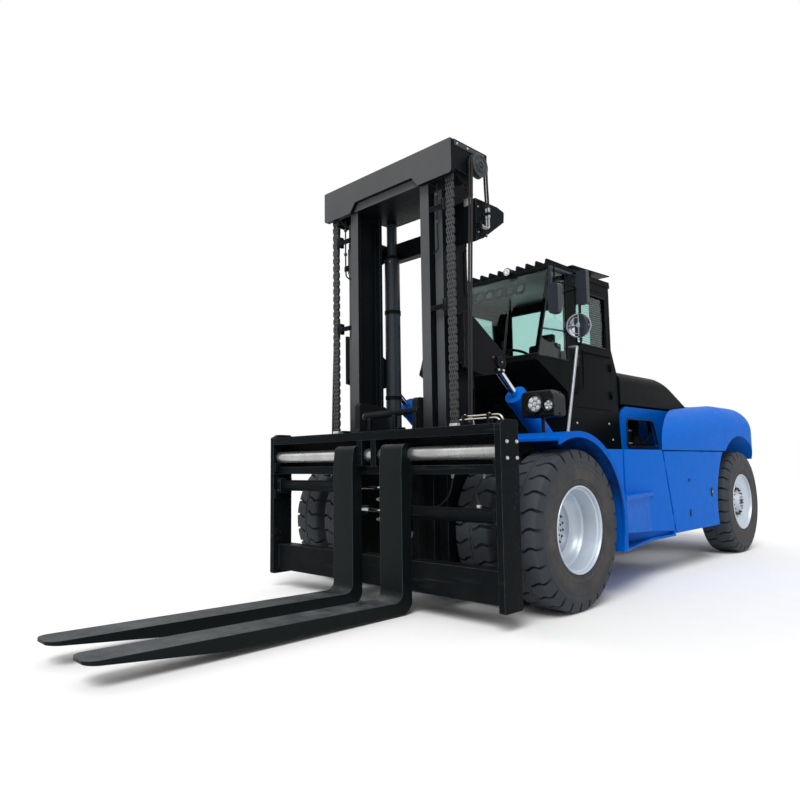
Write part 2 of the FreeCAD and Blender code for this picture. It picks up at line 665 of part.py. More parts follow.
def make_carriage():
    inside = "carriageHalf - sidePlate"
    back = "forkFrontY + forkThick + 6"
    beam = block("carriage_beam", ("-(%s)" % inside, inside), ("carriageFrontY", "carriageBackY"),
                 ("carriageTopZ - 85", "carriageTopZ"))
    web = block("carriage_web", ("-(%s)" % inside, inside), ("carriageBackY - 40", "carriageBackY"),
                ("shaftZ - 190", "carriageTopZ - 85"))
    rail = block("carriage_rail", ("-(%s)" % inside, inside), (back, "carriageBackY - 40"),
                 ("shaftZ - 190", "shaftZ - 110"))
    rib = block("carriage_rib", ("ribX - ribWide / 2", "ribX + ribWide / 2"), ("carriageFrontY + 4", "carriageBackY - 40"),
                ("shaftZ - 110", "carriageTopZ - 85"))
    lug = block("chain_lug", ("(sheaveIn + beamHalf - cheekWall) / 2 - 60", "(sheaveIn + beamHalf - cheekWall) / 2 + 60"),
                ("carriageBackY", "sheaveY - sheaveRadius + 20"), ("carriageTopZ - 70", "carriageTopZ"))
    whole = fuse("carriage_top_whole", beam, web, rail, rib, mirror("carriage_rib_mirrored", rib),
                 lug, mirror("chain_lug_mirrored", lug))
    bore = rod("shaft_bore", "X", ("-carriageHalf", "shaftY", "shaftZ"), "2 * carriageHalf", "shaftRadius + runGap")
    node("carriage_top_beam", cut("carriage_top_body", whole, bore))

    profile = [("carriageFrontY", "carriageFootZ", 20), ("carriageBackY", "carriageFootZ", 20),
               ("carriageBackY", "carriageTopZ + 34", 30), ("carriageFrontY + 70", "carriageTopZ + 34"),
               ("carriageFrontY", "carriageTopZ - 6")]
    twins("carriage_side_plates", plate("carriage_side", "YZ", [profile], inside, "sidePlate"))
    node("carriage_foot_beam", block("carriage_foot", ("-(%s)" % inside, inside), (back, "carriageBackY"),
                                     ("carriageFootZ + 45", "carriageFootZ + 325")))
    node("fork_shaft", rod("fork_shaft_bar", "X", ("-(%s)" % inside, "shaftY", "shaftZ"), "2 * (%s)" % inside,
                           "shaftRadius"))

    profile = [("carriageBackY", "carriageFootZ + 60"), ("innerBackY - 20", "carriageFootZ + 60", 60),
               ("innerBackY - 20", "carriageTopZ + 300", 60), ("carriageBackY + 20", "carriageTopZ + 330", 40),
               ("carriageBackY + 20", "carriageTopZ + 60"), ("carriageBackY", "carriageTopZ")]
    parts = [plate("bracket_web", "YZ", [profile], "bracketIn", "bracketOut - bracketIn")]
    for level, z in (("low", "carriageFootZ + 320"), ("middle", "shaftZ - 150"), ("high", "carriageTopZ + 150")):
        parts.append(rod("bracket_roller_" + level, "X", ("bracketOut", "(innerFrontY + innerBackY) / 2", z),
                         "innerOut - railWall - 12 - bracketOut", "rollerRadius"))
    bracket = fuse("bracket_whole", *parts)
    bar = rod("bracket_bar", "X", ("-bracketIn", "carriageBackY + 80", "carriageTopZ + 205"), "2 * bracketIn", "24")
    node("roller_brackets", fuse("roller_brackets_body", bar, bracket, mirror("bracket_mirrored", bracket)))

    tubes = []
    for name, level in (("high", "highTubeZ"), ("low", "lowTubeZ")):
        shell = rod(name + "_tube", "X", ("tubeInX", "tubeY", level), "%s - tubeInX" % inside, "tubeRadius")
        hollow = rod(name + "_tube_bore", "X", ("tubeInX - 1", "tubeY", level), "%s - tubeInX - 60" % inside,
                     "pusherRod + runGap")
        tube = cut(name + "_tube_body", shell, hollow)
        tubes.append(tube if name == "low" else mirror("high_tube_mirrored", tube))
    node("positioner_tubes", gather("positioner_tubes_pair", *tubes))


def make_forks():
    back = "forkFrontY + forkThick"
    hook = "shaftY + shaftRadius + 32"
    top = "shaftZ + shaftRadius + 30"
    for name, x, level, side in (("left", "forkLeftX", "highTubeZ", 1), ("right", "forkRightX", "lowTubeZ", -1)):
        tip = "forkFloor + bladeThick + forkRise"
        profile = [("forkTipY", tip + " - tipThick", 8), ("forkTipY + tipTaper", "forkFloor + forkRise * 0.65"),
                   (back, "forkFloor", 120),
                   (back, "shaftZ - 100"), (hook, "shaftZ - 100", 30), (hook, top, 80), ("forkFrontY + 22", top, 60),
                   ("forkFrontY", "shaftZ - 100", 60), ("forkFrontY", "forkFloor + bladeThick", 90),
                   ("forkTipY", tip, 8)]
        blade = plate("fork_side_" + name, "YZ", [profile], x + " - forkWide / 2", "forkWide")
        edge = (x + " - forkWide / 2", x + " + forkWide / 2")
        plan = plate("fork_plan_" + name, "XY", [[(edge[0], "forkTipY", "tipRound"), (edge[1], "forkTipY", "tipRound"),
                                                  (edge[1], "0"), (edge[0], "0")]], "0", "2 * shaftZ")
        bore = rod("fork_bore_" + name, "X", (x + " - forkWide", "shaftY", "shaftZ"), "2 * forkWide",
                   "shaftRadius + runGap")
        node("fork_" + name, cut("fork_drilled_" + name, both("fork_shape_" + name, blade, plan), bore))
        inboard = "(%s) - %d * (forkWide / 2 - 30)" % (x, side)
        lug = block("pusher_lug_" + name, (inboard + " - 25", inboard + " + 25"),
                    (back, "tubeY + pusherRod + 12"), (level + " - 40", level + " + 40"))
        start = inboard + " - pusherLong" if side > 0 else inboard
        pusher = rod("pusher_" + name, "X", (start, "tubeY", level), "pusherLong", "pusherRod")
        node("pusher_rod_" + name, fuse("pusher_body_" + name, lug, pusher))


# --- Chassis ----------------------------------------------------------------------------


def make_frame():
    side = [("-60", "seatZ"), ("-60", "seatZ + 30"), ("60", "deckZ"), ("frameEndY", "deckZ"),
            ("frameEndY", "frameTailZ"), ("frameEndY - 340", "frameFootZ"), ("900", "frameFootZ"),
            ("560", "seatZ")]
    rail = plate("frame_rail", "YZ", [side], "frameOut - frameWall", "frameWall")
    carrier = [block("outrigger_%d" % index, ("frameOut", "bodyHalf - 500"), (y, y + " + 80"),
                     ("frameFootZ", "tankZ"))
               for index, y in enumerate(("1450", "2250"))]
    anchor = rod("tilt_anchor", "X", ("frameOut", "tiltBaseY", "tiltBaseZ"), "tiltX + 90 - frameOut", "tiltPin")
    bearer = block("tilt_bearer", ("frameOut", "tiltX - tiltRadius - 8"), ("tiltBaseY - 60", "tiltBaseY + 60"),
                   ("tiltBaseZ - 150", "tiltBaseZ + 50"))
    hand = fuse("frame_side", rail, anchor, bearer, *carrier)
    inner = "frameOut - frameWall"
    cross = [block("frame_cross_%d" % index, ("-(%s)" % inner, inner), (y, y + " + 40"), (low, high))
             for index, (y, low, high) in enumerate((("420", "seatZ", "deckZ"),
                                                     ("1500", "frameFootZ", "engineZ + 100"),
                                                     ("2900", "frameFootZ", "engineZ"),
                                                     ("3850", "frameFootZ", "engineZ")))]
    belly = block("frame_belly", ("-(%s)" % inner, inner), ("900", "frameEndY - 340"),
                  ("frameFootZ", "frameFootZ + 30"))
    end = block("frame_end", ("-frameOut", "frameOut"), ("frameEndY - frameWall", "frameEndY"), ("frameTailZ", "deckZ"))
    spine = block("frame_spine", ("-280", "280"), ("frameEndY", "wheelbase + 440"), ("spineZ", "lobeZ"))
    node("chassis_frame", fuse("chassis_frame_body", hand, mirror("frame_side_mirrored", hand), belly, end,
                               spine, *cross))
    node("engine_block", block("engine_block_body", ("-engineHalf", "engineHalf"), ("2700", "4100"),
                               ("engineZ", "2000")))


# --- Bodywork ---------------------------------------------------------------------------


def make_fenders():
    skin = [("fenderIn", "fenderRadius"), ("fenderOut - 20", "fenderRadius"), ("fenderOut - 20", "fenderRadius - 34"),
            ("fenderOut", "fenderRadius - 34"), ("fenderOut", "fenderRadius + fenderWall"),
            ("fenderIn", "fenderRadius + fenderWall")]
    ring = lathe("fender_ring", skin, "0", "0", "tyreRadius")
    sector = plate("fender_sector", "YZ", [[("fenderFrontY", "tyreRadius"), ("fenderFrontY", "2000"),
                                            ("1000", "2000"), ("1000", "stepZ + 10"), ("200", "stepZ + 10"),
                                            ("200", "tyreRadius")]], "fenderIn - 10", "fenderOut - fenderIn + 20")
    shelf = block("fender_shelf", ("fenderIn", "bodyHalf"), ("845", "tankY"), ("1000", "1030"))
    twins("front_fenders", fuse("fender_body", both("fender_skin", ring, sector), shelf))


def seam(z, shift="0"):
    """Where the slanted seam between a side tank and its door runs at a height."""
    return "seamY + (deckZ - (%s)) * seamLean + (%s)" % (z, shift)


def hinge_half(name, x, line, low, high, reach):
    """A hinge's eye about a line in a plane of constant X, with its arm; line gives Y at a height."""
    eye = slant(name + "_eye", (x, line(low), low), (line(high), high), "hingeEye")
    corners = [("%s + (%s) * %s" % (line(z), reach, share), z)
               for z, share in ((low + " + 5", 0.1), (high + " - 5", 0.1), (high + " - 5", 1), (low + " + 5", 1))]
    arm = plate(name + "_arm", "YZ", [corners], "%s - hingeEye - 6" % x, "hingeEye + 12")
    return fuse(name, eye, arm)


def hinge(name, x, line, level, fixed, moving):
    """Both halves of one lift-off hinge: the fixed eye with its pin, and the bored eye above it."""
    low, middle, high = level, "(%s) + 50" % level, "(%s) + 100" % level
    pin = slant(name + "_pin", (x, line(low), low), (line(high + " + 6"), high + " + 6"), "hingePin")
    post = fuse(name + "_post", hinge_half(name + "_fixed", x, line, low, middle, fixed), pin)
    bored = hinge_half(name + "_moving", x, line, middle + " + runGap", high, moving)
    bore = slant(name + "_bore", (x, line(low), low), (line(high + " + 9"), high + " + 9"), "hingePin + runGap")
    return post, cut(name + "_knuckle", bored, bore)


def make_tanks():
    behind = "tankSplitY + tankSplit"
    rear = [(behind, "stepZ"), (behind, "deckZ"), (seam("deckZ", "-seamHalf"), "deckZ"),
            (seam("stepZ", "-seamHalf"), "stepZ")]
    tank = plate("tank_main", "YZ", [rear], "frameOut + 20", "bodyHalf - frameOut - 20")
    low = block("tank_hollow", ("frameOut", "bodyHalf - 400"), ("tankSplitY + 30", "2700"), ("stepZ - 10", "tankZ"))
    front = block("tank_front", ("fenderIn", "bodyHalf"), ("tankY", "tankSplitY"), ("stepZ", "deckZ"))
    joint = block("tank_joint", ("fenderIn", "bodyHalf - 30"), ("tankSplitY", behind), ("stepZ", "deckZ"))
    flare = plate("tank_flare", "XY", [[("bodyHalf - 60", "tankY"), ("fenderOut - 40", "tankY"),
                                        ("bodyHalf", "ledgeEndY"), ("bodyHalf - 60", "ledgeEndY")]],
                  "stepZ", "ledgeZ - stepZ")
    ledge = plate("tank_ledge", "XY", [[("bodyHalf - 60", "tankY"), ("fenderOut - 14", "tankY"),
                                        ("bodyHalf", "ledgeEndY + 110"), ("bodyHalf - 60", "ledgeEndY + 110")]],
                  "ledgeZ - 46", "46")
    grip = plate("step_recess", "YZ", [[("1010", "stepZ + 24"), ("1010", "tankZ + 10"), ("2640", "tankZ - 106"),
                                        ("2640", "stepZ + 24")]], "bodyHalf - 50", "fenderOut - bodyHalf + 50")
    posts, knuckles = zip(*[hinge("side_hinge_%d" % index, "doorLineX", seam, z, "-seamHalf - 12", "seamHalf + 12")
                            for index, z in enumerate(("stepZ + 150", "deckZ - 250"))])
    whole = fuse("tank_whole", tank, front, joint, flare, ledge)
    carved = cut("tank_carved", whole, low, grip)
    twins("side_tanks", fuse("side_tank_body", carved, *posts))

    top, foot = "deckZ - 16", "stepZ + 30"
    face = [(seam(top, "seamHalf"), top), ("wheelbase - 500", top), ("wheelbase - 500", foot),
            (seam(foot, "seamHalf"), foot)]
    skin = plate("door_skin", "YZ", [face], "bodyHalf - 30", "30")
    arch = rod("door_arch", "X", ("500", "wheelbase", "tyreRadius"), "bodyHalf", "archRadius + 70")
    pair("rear_side_door", fuse("side_door_body", cut("side_door_skin", skin, arch), *knuckles))


def soften(body, radius, high):
    """Rounds the top rim of the body's pad."""
    doc.recompute()
    pad = body.Tip
    top = value(high)
    chosen = ["Edge%d" % (index + 1) for index, edge in enumerate(pad.Shape.Edges)
              if all(abs(vertex.Z - top) < 0.01 for vertex in edge.Vertexes)]
    rounding = body.newObject("PartDesign::Fillet", body.Name + "_rounding")
    rounding.Base = (pad, chosen)
    rounding.setExpression("Radius", bound(radius))
    return body


def make_counterweight():
    wide = [("-bodyHalf", "ballastY - shoulder - 40"), ("bodyHalf", "ballastY - shoulder - 40"),
            ("bodyHalf", "rearEndY", 520), ("-bodyHalf", "rearEndY", 520)]
    upper = soften(plate("ballast_upper", "XY", [wide], "lobeZ", "crownZ - lobeZ"),
                   "shoulder", "crownZ")
    front = block("ballast_cut", ("-2 * bodyHalf", "2 * bodyHalf"), ("ballastY - 500", "ballastY"),
                  ("lobeZ - 10", "2 * crownZ"))
    arch = rod("wheel_arch", "X", ("300", "wheelbase", "tyreRadius"), "bodyHalf", "archRadius")
    tail = block("ballast_tail", ("-850", "850"), ("rearEndY - 100", "rearEndY"), ("frameTailZ", "lobeZ"))
    heart = block("ballast_heart", ("-280", "280"), ("wheelbase + 445", "rearEndY"),
                  ("frameTailZ", "lobeZ"))
    pocket = block("tow_pocket", ("-80", "80"), ("rearEndY - 160", "rearEndY + 10"), ("towZ - 60", "towZ + 60"))
    bore = rod("tow_bore", "Z", ("0", "rearEndY - 80", "frameTailZ - 10"), "410", "towRadius")
    mass = cut("ballast_carved", upper, front, arch, mirror("wheel_arch_mirrored", arch))
    lug = block("hood_lug", ("460", "500"), ("hoodAxisY", "ballastY + 40"), ("shellTopZ - 10", "hoodAxisZ + 12"))
    eye = rod("hood_lug_eye", "X", ("460", "hoodAxisY", "hoodAxisZ"), "40", "18")
    pin = rod("hood_pin", "X", ("460", "hoodAxisY", "hoodAxisZ"), "90", "hoodPin")
    stand = fuse("hood_stand", lug, eye, pin)
    body = cut("ballast_bored", fuse("ballast_whole", mass, tail, heart), pocket, bore)
    node("counterweight", fuse("counterweight_body", body, stand, mirror("hood_stand_mirrored", stand)))

    crown = {}
    for name, grow in (("outer", "0"), ("inner", "shellWall")):
        out, roof, into = ["%s - (%s)" % (side, grow) for side in ("bodyHalf", "crownZ", "-shellIn")]
        into = "-(%s)" % into
        section = plate("shell_section_" + name, "XZ",
                        [[(into, "deckZ - 400"), (into, roof), (out, roof, "shoulder - (%s)" % grow),
                          (out, "deckZ - 400")]], "shellFrontY - 200", "ballastY + 200 - shellFrontY + 100")
        lean(section, "shellLean", "ballastY", "crownZ")
        front = "shellFrontY + 2 * (%s)" % grow
        plan = plate("shell_plan_" + name, "XY",
                     [[(into, "ballastY"), (into, front + " + shellSweep"), (out, front),
                       ("bodyHalf + 20", front), ("bodyHalf + 20", "ballastY")]], "deckZ", "crownZ")
        crown[name] = both("shell_" + name, section, plan)
    round_ = rod("shell_arch", "X", ("500", "wheelbase", "tyreRadius"), "bodyHalf", "archRadius")
    shell = cut("rear_shell_body", crown["outer"], crown["inner"], round_)
    window = [("2640", "deckZ + 40", 50), ("3600", "deckZ + 40", 50), ("3420", "1930", 60), ("2640", "1930", 60)]
    wall = [("bayFrontY", "deckZ"), ("bayFrontY", "bayTopZ", 150), ("ballastY", "bayTopZ"), ("ballastY", "deckZ")]
    bay = plate("bay_wall", "YZ", [wall, window], "bayIn", "bayWall")
    web = block("bay_web", ("bayIn + bayWall", "shellIn"), ("shellFrontY + shellSweep", "ballastY"),
                ("deckZ", "deckZ + 40"))
    twins("rear_side_shells", fuse("rear_side_shell", shell, bay, web))


def make_hood():
    foot = "shellTopZ + hoodGap"

    def cover(name, grow, tail):
        end = [("-hoodHalf + %s" % grow, foot), ("-hoodHalf + %s" % grow, "hoodTopZ - %s" % grow, 160),
               ("hoodHalf - %s" % grow, "hoodTopZ - %s" % grow, 160), ("hoodHalf - %s" % grow, foot)]
        side = [("hoodFrontY + %s" % grow, foot), ("hoodFrontY + %s" % grow, "hoodTopZ - %s" % grow),
                ("hoodKneeY - %s / 5" % grow, "hoodTopZ - %s" % grow, 300)] + tail
        return both(name, plate(name + "_end", "XZ", [end], "hoodFrontY", "hoodEndY - hoodFrontY"),
                    plate(name + "_side", "YZ", [side], "-hoodHalf", "2 * hoodHalf"))

    low = [("hoodFootY", foot + " + 44", 60), ("hoodEndY", foot + " + 34"), ("hoodEndY", foot)]
    outer = cover("hood_outer", "0", low)
    inner = cover("hood_inner", "hoodWall", [("hoodFootY + 20", foot)])
    eyes = []
    for side in (-1, 1):
        start = ("%d * 500 - %d + %d * runGap" % (side, 0 if side > 0 else 40, side), "hoodAxisY", "hoodAxisZ")
        eye = rod("hood_eye_%d" % (side + 1), "X", start, "40 - runGap", "18")
        arm = block("hood_arm_%d" % (side + 1), (start[0], "(%s) + 40 - runGap" % start[0]), ("hoodEndY - 60", "hoodAxisY"),
                    ("hoodAxisZ - 12", "hoodAxisZ + 12"))
        eyes += [eye, arm]
    skin = cut("hood_skin", outer, inner)
    bore = rod("hood_bore", "X", ("-600", "hoodAxisY", "hoodAxisZ"), "1200", "hoodPin + runGap")
    node("hood", cut("hood_body", fuse("hood_whole", skin, *eyes), bore))


# --- Cab --------------------------------------------------------------------------------


def rake(z):
    """Where the windscreen's front plane stands at a height."""
    return "noseY + (browY - noseY) * (%s - noseZ) / (eavesZ - noseZ)" % z


def make_cab():
    inside = "cabHalf - cabWall"
    base = [("cabFootY - 45", "deckZ"), ("cabFootY", "floorZ"), ("cabHeelY + 20", "floorZ"), ("cabHeelY + 65", "deckZ")]
    step = block("cab_floor", ("-(%s)" % inside, inside), ("1340", "cabHeelY - 40"), ("floorZ", "floorZ + 40"))
    node("cab_base", fuse("cab_base_body", plate("cab_plinth", "YZ", [base], "-cabHalf", "2 * cabHalf"), step))
    nose = [("cabFootY", "floorZ"), ("kneeY", "kneeZ"), ("noseY", "noseZ"), (rake("sillZ"), "sillZ"),
            ("noseY + 85", "sillZ"), ("noseY + 92", "noseZ"), ("kneeY + 32", "kneeZ + 32"), ("cabFootY + 40", "floorZ")]
    node("cab_front_wall", plate("cab_front_body", "YZ", [nose], "-(%s)" % inside, "2 * (%s)" % inside))

    seat = " + paneSeat"
    side = [("cabFootY", "floorZ"), ("kneeY", "kneeZ"), ("noseY", "noseZ"), (rake("sillZ"), "sillZ"),
            (rake("sillZ") + seat, "sillZ"), ("browY" + seat, "eavesZ"), ("cabBackY", "eavesZ"),
            ("cabBackY", "backBreakZ"), ("cabHeelY", "heelZ"), ("cabHeelY + 20", "floorZ")]
    opening = [("postY", "floorZ + 35", 60), ("hingePostY", "floorZ + 35", 60), ("hingePostY", "lintelZ", 60),
               ("postY", "lintelZ", 60)]
    inset = seat + " + cornerPost"
    low, high = "noseZ + 40", "eavesZ - 30"
    quarter = [(rake("(%s)" % low) + inset, low), ("postY - 75", low, 10), ("postY - 75", high, 10),
               (rake("(%s)" % high) + inset, high)]

    def line(z):
        return "doorAxisY"

    posts, knuckles = zip(*[hinge("door_hinge_%d" % index, "doorAxisX", line, z, "20", "-24")
                            for index, z in enumerate(("2150", "2500"))])
    wall = plate("cab_side_panel", "YZ", [side, opening, quarter], inside, "cabWall")
    twins("cab_sides", fuse("cab_side_body", wall, *posts))
    pane = plate("quarter_pane", "YZ", [quarter], "cabHalf - 12", "glassThick")
    panes = [pane, mirror("quarter_pane_mirrored", pane)]

    wall = [("cabBackY", "eavesZ"), ("cabBackY", "backBreakZ"), ("cabHeelY", "heelZ"), ("cabHeelY + 20", "floorZ"),
            ("cabHeelY - 30", "floorZ"), ("cabHeelY - cabWall", "heelZ - 12"), ("cabBackY - cabWall", "backBreakZ - 11"),
            ("cabBackY - cabWall", "eavesZ")]
    panel = plate("rear_panel", "YZ", [wall], "-(%s)" % inside, "2 * (%s)" % inside)
    pane_x, pane_z = ("-620", "620"), ("2850", "3480")
    hole = block("rear_opening", pane_x, ("cabBackY - 60", "cabBackY + 10"), pane_z)
    node("cab_rear_wall", cut("cab_rear_body", panel, hole))
    panes.append(block("rear_pane", pane_x, ("cabBackY - 30", "cabBackY - 30 + glassThick"), pane_z))

    back = " + paneSeat - glassThick"
    pane = [(rake("sillZ") + back, "sillZ"), (rake("eavesZ") + back, "eavesZ"), (rake("eavesZ") + seat, "eavesZ"),
            (rake("sillZ") + seat, "sillZ")]
    panes.append(plate("windscreen_pane", "YZ", [pane], "-cabHalf", "2 * cabHalf"))
    node("cab_glass", gather("cab_glass_panes", *panes))

    slab = plate("roof_slab", "YZ", [[("browY - 14", "eavesZ"), ("browY - 4", "eavesZ + roofThick - 8", 6),
                                      ("browY + 20", "eavesZ + roofThick"), ("cabBackY + 10", "eavesZ + roofThick + 34"),
                                      ("cabBackY + 24", "eavesZ")]], "-(cabHalf + 8)", "2 * (cabHalf + 8)")
    bars = []
    for index in range(int(value("guardBars"))):
        middle = "(%d - (guardBars - 1) / 2) * guardPitch" % index
        blade = plate("guard_bar_%d" % index, "YZ", [[("browY", "eavesZ + roofThick - 12"),
                                                      ("browY + 26", "guardTopZ"), ("1520", "guardTopZ"),
                                                      ("1520", "eavesZ + roofThick - 12")]], middle + " - 12", "24")
        bars.append(blade)
    visor = plate("roof_visor", "YZ", [[("1440", "guardTopZ - 6"), ("1440", "guardTopZ + 6"),
                                        ("cabBackY + 40", "guardTopZ + 50"), ("cabBackY + 40", "guardTopZ + 38")]],
                  "-(cabHalf + 4)", "2 * (cabHalf + 4)")
    posts = [block("visor_post_%d" % index, ("%d * 700 - 20" % side, "%d * 700 + 20" % side),
                   ("2150", "2190"), ("eavesZ + roofThick", "guardTopZ + 30")) for index, side in enumerate((-1, 1))]
    node("cab_roof", fuse("cab_roof_body", slab, visor, *(posts + bars)))

    leaf = [("postY + doorGap", "floorZ + 35 + doorGap", 54), ("hingePostY - doorGap", "floorZ + 35 + doorGap", 54),
            ("hingePostY - doorGap", "lintelZ - doorGap", 54), ("postY + doorGap", "lintelZ - doorGap", 54)]
    light = [("postY + 140", "2780", 40), ("hingePostY - 80", "2780", 40), ("hingePostY - 80", "lintelZ - 60", 40),
             ("postY + 140", "lintelZ - 60", 40)]
    pair("cab_door", fuse("cab_door_body", plate("cab_door_leaf", "YZ", [leaf, light], "cabHalf - 45", "45"), *knuckles))
    pair("cab_door_glass", plate("cab_door_pane", "YZ", [light], "cabHalf - 28", "glassThick"))


def make_fittings():
    stand = block("seat_stand", ("-200", "200"), ("1780", "2200"), ("floorZ + 40", "floorZ + 330"))
    cushion = block("seat_cushion", ("-265", "265"), ("1700", "2210"), ("floorZ + 330", "floorZ + 470"))
    rest = plate("seat_back", "YZ", [[("2090", "floorZ + 470"), ("2210", "floorZ + 470"), ("2268", "floorZ + 1130", 40),
                                      ("2170", "floorZ + 1130", 40)]], "-250", "500")
    node("operator_seat", fuse("operator_seat_body", stand, cushion, rest))

    post = block("column_post", ("-70", "70"), ("1390", "1500"), ("floorZ + 40", "floorZ + 560"))
    stem = slant("column_stem", ("0", "1420", "floorZ + 500"), ("1500", "floorZ + 760"), "32")
    wheel = doc.addObject("Part::Torus", "wheel_ring")
    wheel.Radius1 = 195
    wheel.Radius2 = 17
    wheel.Placement = FreeCAD.Placement(V(), FreeCAD.Rotation(V(1, 0, 0), -20))
    place(wheel, "0", "1500", "floorZ + 750")
    spoke = block("wheel_spoke", ("-190", "190"), ("1480", "1520"), ("floorZ + 738", "floorZ + 762"))
    node("steering_column", fuse("steering_column_body", post, stem, wheel, spoke))

    pod = plate("lamp_pod_side", "YZ", [[("lampY", "lampLow", 20), ("lampY", "lampHigh - 20", 30),
                                         ("110", "lampHigh", 50), ("215", "lampHigh - 60", 30),
                                         ("215", "lampLow", 30)]], "lampIn", "lampWide")
    out = "lampIn + lampWide"
    shade = plate("lamp_pod_front", "XZ", [[("lampIn", "lampLow", 30), ("lampIn", "lampHigh", "lampRound"),
                                            (out, "lampHigh", "lampRound + 20"), (out, "lampLow", 30)]],
                  "lampY - 10", "400")
    pod = both("lamp_pod", pod, shade)
    post = rod("lamp_post", "Z", ("1240", "120", "fenderTop"), "lampLow + 5 - (fenderTop)", "19")
    foot = plate("lamp_foot", "YZ", [[("60", "tyreRadius + fenderRadius"), ("60", "fenderTop + 10"), ("180", "fenderTop + 10"),
                                      ("180", "tyreRadius + fenderRadius")]], "1180", "120")
    under = rod("lamp_under", "X", ("1100", "0", "tyreRadius"), "300", "fenderRadius + fenderWall + runGap")
    twins("headlamps", cut("headlamp_body", fuse("headlamp_whole", pod, post, foot), under))

    plug = "cabHalf"
    high = rod("mirror_arm_high", "X", (plug, "1290", "3540"), "110", "14")
    long_ = block("mirror_arm_long", ("cabHalf + 96", "cabHalf + 124"), ("740", "1304"), ("3528", "3552"))
    hanger = block("mirror_hanger", ("cabHalf + 96", "cabHalf + 124"), ("740", "766"), ("3340", "3540"))
    black = plate("mirror_shell", "XZ", [[("cabHalf + 90", "3000", 50), ("cabHalf + 218", "3000", 50),
                                          ("cabHalf + 218", "3345", 40), ("cabHalf + 90", "3345", 40)]], "725", "80")
    drop = block("mirror_drop", ("cabHalf + 150", "cabHalf + 174"), ("1278", "1302"), ("2760", "3580"))
    stay = rod("mirror_stay", "X", (plug, "1290", "2900"), "165", "12")
    link_ = rod("mirror_link", "X", (plug, "1290", "3540"), "165", "12")
    grey = plate("mirror_grey", "XZ", [[("cabHalf + 160", "3170", 20), ("cabHalf + 300", "3170", 20),
                                        ("cabHalf + 300", "3560", 20), ("cabHalf + 160", "3560", 20)]], "1210", "70")
    disc = rod("mirror_round", "Y", ("cabHalf + 162", "1222", "2930"), "40", "140")
    disc.Placement.Rotation = FreeCAD.Rotation(V(0, 0, 1), -value("mirrorTurn")).multiply(TURNS["Y"])
    rear = fuse("mirror_rear", drop, stay, link_, grey, disc)
    front = fuse("mirror_front", rear, high, long_, hanger, black)
    node("mirror_brackets", gather("mirror_bracket_pair", front, mirror("mirror_rear_mirrored", rear)))

    pad = block("grab_pad", ("950", "1020"), ("tankY + 5", "tankY + 85"), ("deckZ", "deckZ + 12"))
    pole = slant("grab_pole", ("985", "tankY + 40", "deckZ + 8"), ("1295", "2705"), "17")
    elbow = doc.addObject("Part::Sphere", "grab_elbow")
    elbow.Radius = 17
    place(elbow, "985", "1295", "2705")
    arm = rod("grab_arm", "X", ("cabHalf", "1295", "2705"), "105", "17")
    twins("grab_rails", fuse("grab_rail_body", pad, pole, elbow, arm))


make_wheels()
make_axles()
make_outer_mast()
make_lift_cylinders()
make_inner_mast()
make_tilt_cylinders()
make_carriage()
make_forks()
make_frame()
make_fenders()
make_tanks()
make_counterweight()
make_hood()
make_cab()
make_fittings()
doc.recompute()

problems = []
for item in doc.Objects:
    if "Invalid" in item.State or "Error" in item.State:
        problems.append("%s: %s" % (item.Name, item.State))
    shape = getattr(item, "Shape", None)
    if shape is not None and item.isDerivedFrom("Part::Feature") and (shape.isNull() or not shape.isValid()):
        problems.append("%s: bad shape" % item.Name)
for name, item in nodes.items():
    if not item.Shape.Solids:
        problems.append("%s: no solid" % name)
if problems:
    raise SystemExit("\n".join(problems))

os.makedirs("parts", exist_ok=True)
for name, item in nodes.items():
    item.Shape.exportStep("parts/%s.step" % name)
print("nodes:", len(nodes))
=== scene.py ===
import math

import bmesh
import bpy
from mathutils import Matrix, Vector


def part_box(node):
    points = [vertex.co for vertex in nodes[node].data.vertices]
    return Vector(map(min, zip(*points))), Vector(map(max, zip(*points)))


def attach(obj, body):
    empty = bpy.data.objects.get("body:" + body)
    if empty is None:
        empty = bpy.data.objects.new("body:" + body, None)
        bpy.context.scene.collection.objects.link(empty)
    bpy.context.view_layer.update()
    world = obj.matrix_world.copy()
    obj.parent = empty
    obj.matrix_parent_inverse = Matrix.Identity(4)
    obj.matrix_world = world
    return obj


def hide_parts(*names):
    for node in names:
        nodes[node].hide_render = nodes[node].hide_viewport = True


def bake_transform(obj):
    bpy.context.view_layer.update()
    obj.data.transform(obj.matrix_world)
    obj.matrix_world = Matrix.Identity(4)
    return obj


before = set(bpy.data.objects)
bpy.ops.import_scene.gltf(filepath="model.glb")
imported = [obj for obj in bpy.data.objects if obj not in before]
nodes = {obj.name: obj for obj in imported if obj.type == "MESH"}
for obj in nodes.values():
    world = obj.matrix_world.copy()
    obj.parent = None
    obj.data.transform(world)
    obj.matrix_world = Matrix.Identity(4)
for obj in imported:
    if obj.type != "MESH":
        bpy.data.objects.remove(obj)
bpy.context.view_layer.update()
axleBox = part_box("drive_axle")
axleY = (axleBox[0].y + axleBox[1].y) / 2
wheelRadius, wheelbase = 0.745, 5.2


def at(x, y, z):  # a point in metres, with y counted from the drive axle
    return Vector((x, y + axleY, z))


# Camera

view = dict(place=(4.854, -5.581, 1.366), turn=44.535, rise=5.554, roll=-0.778, lens=29.865)


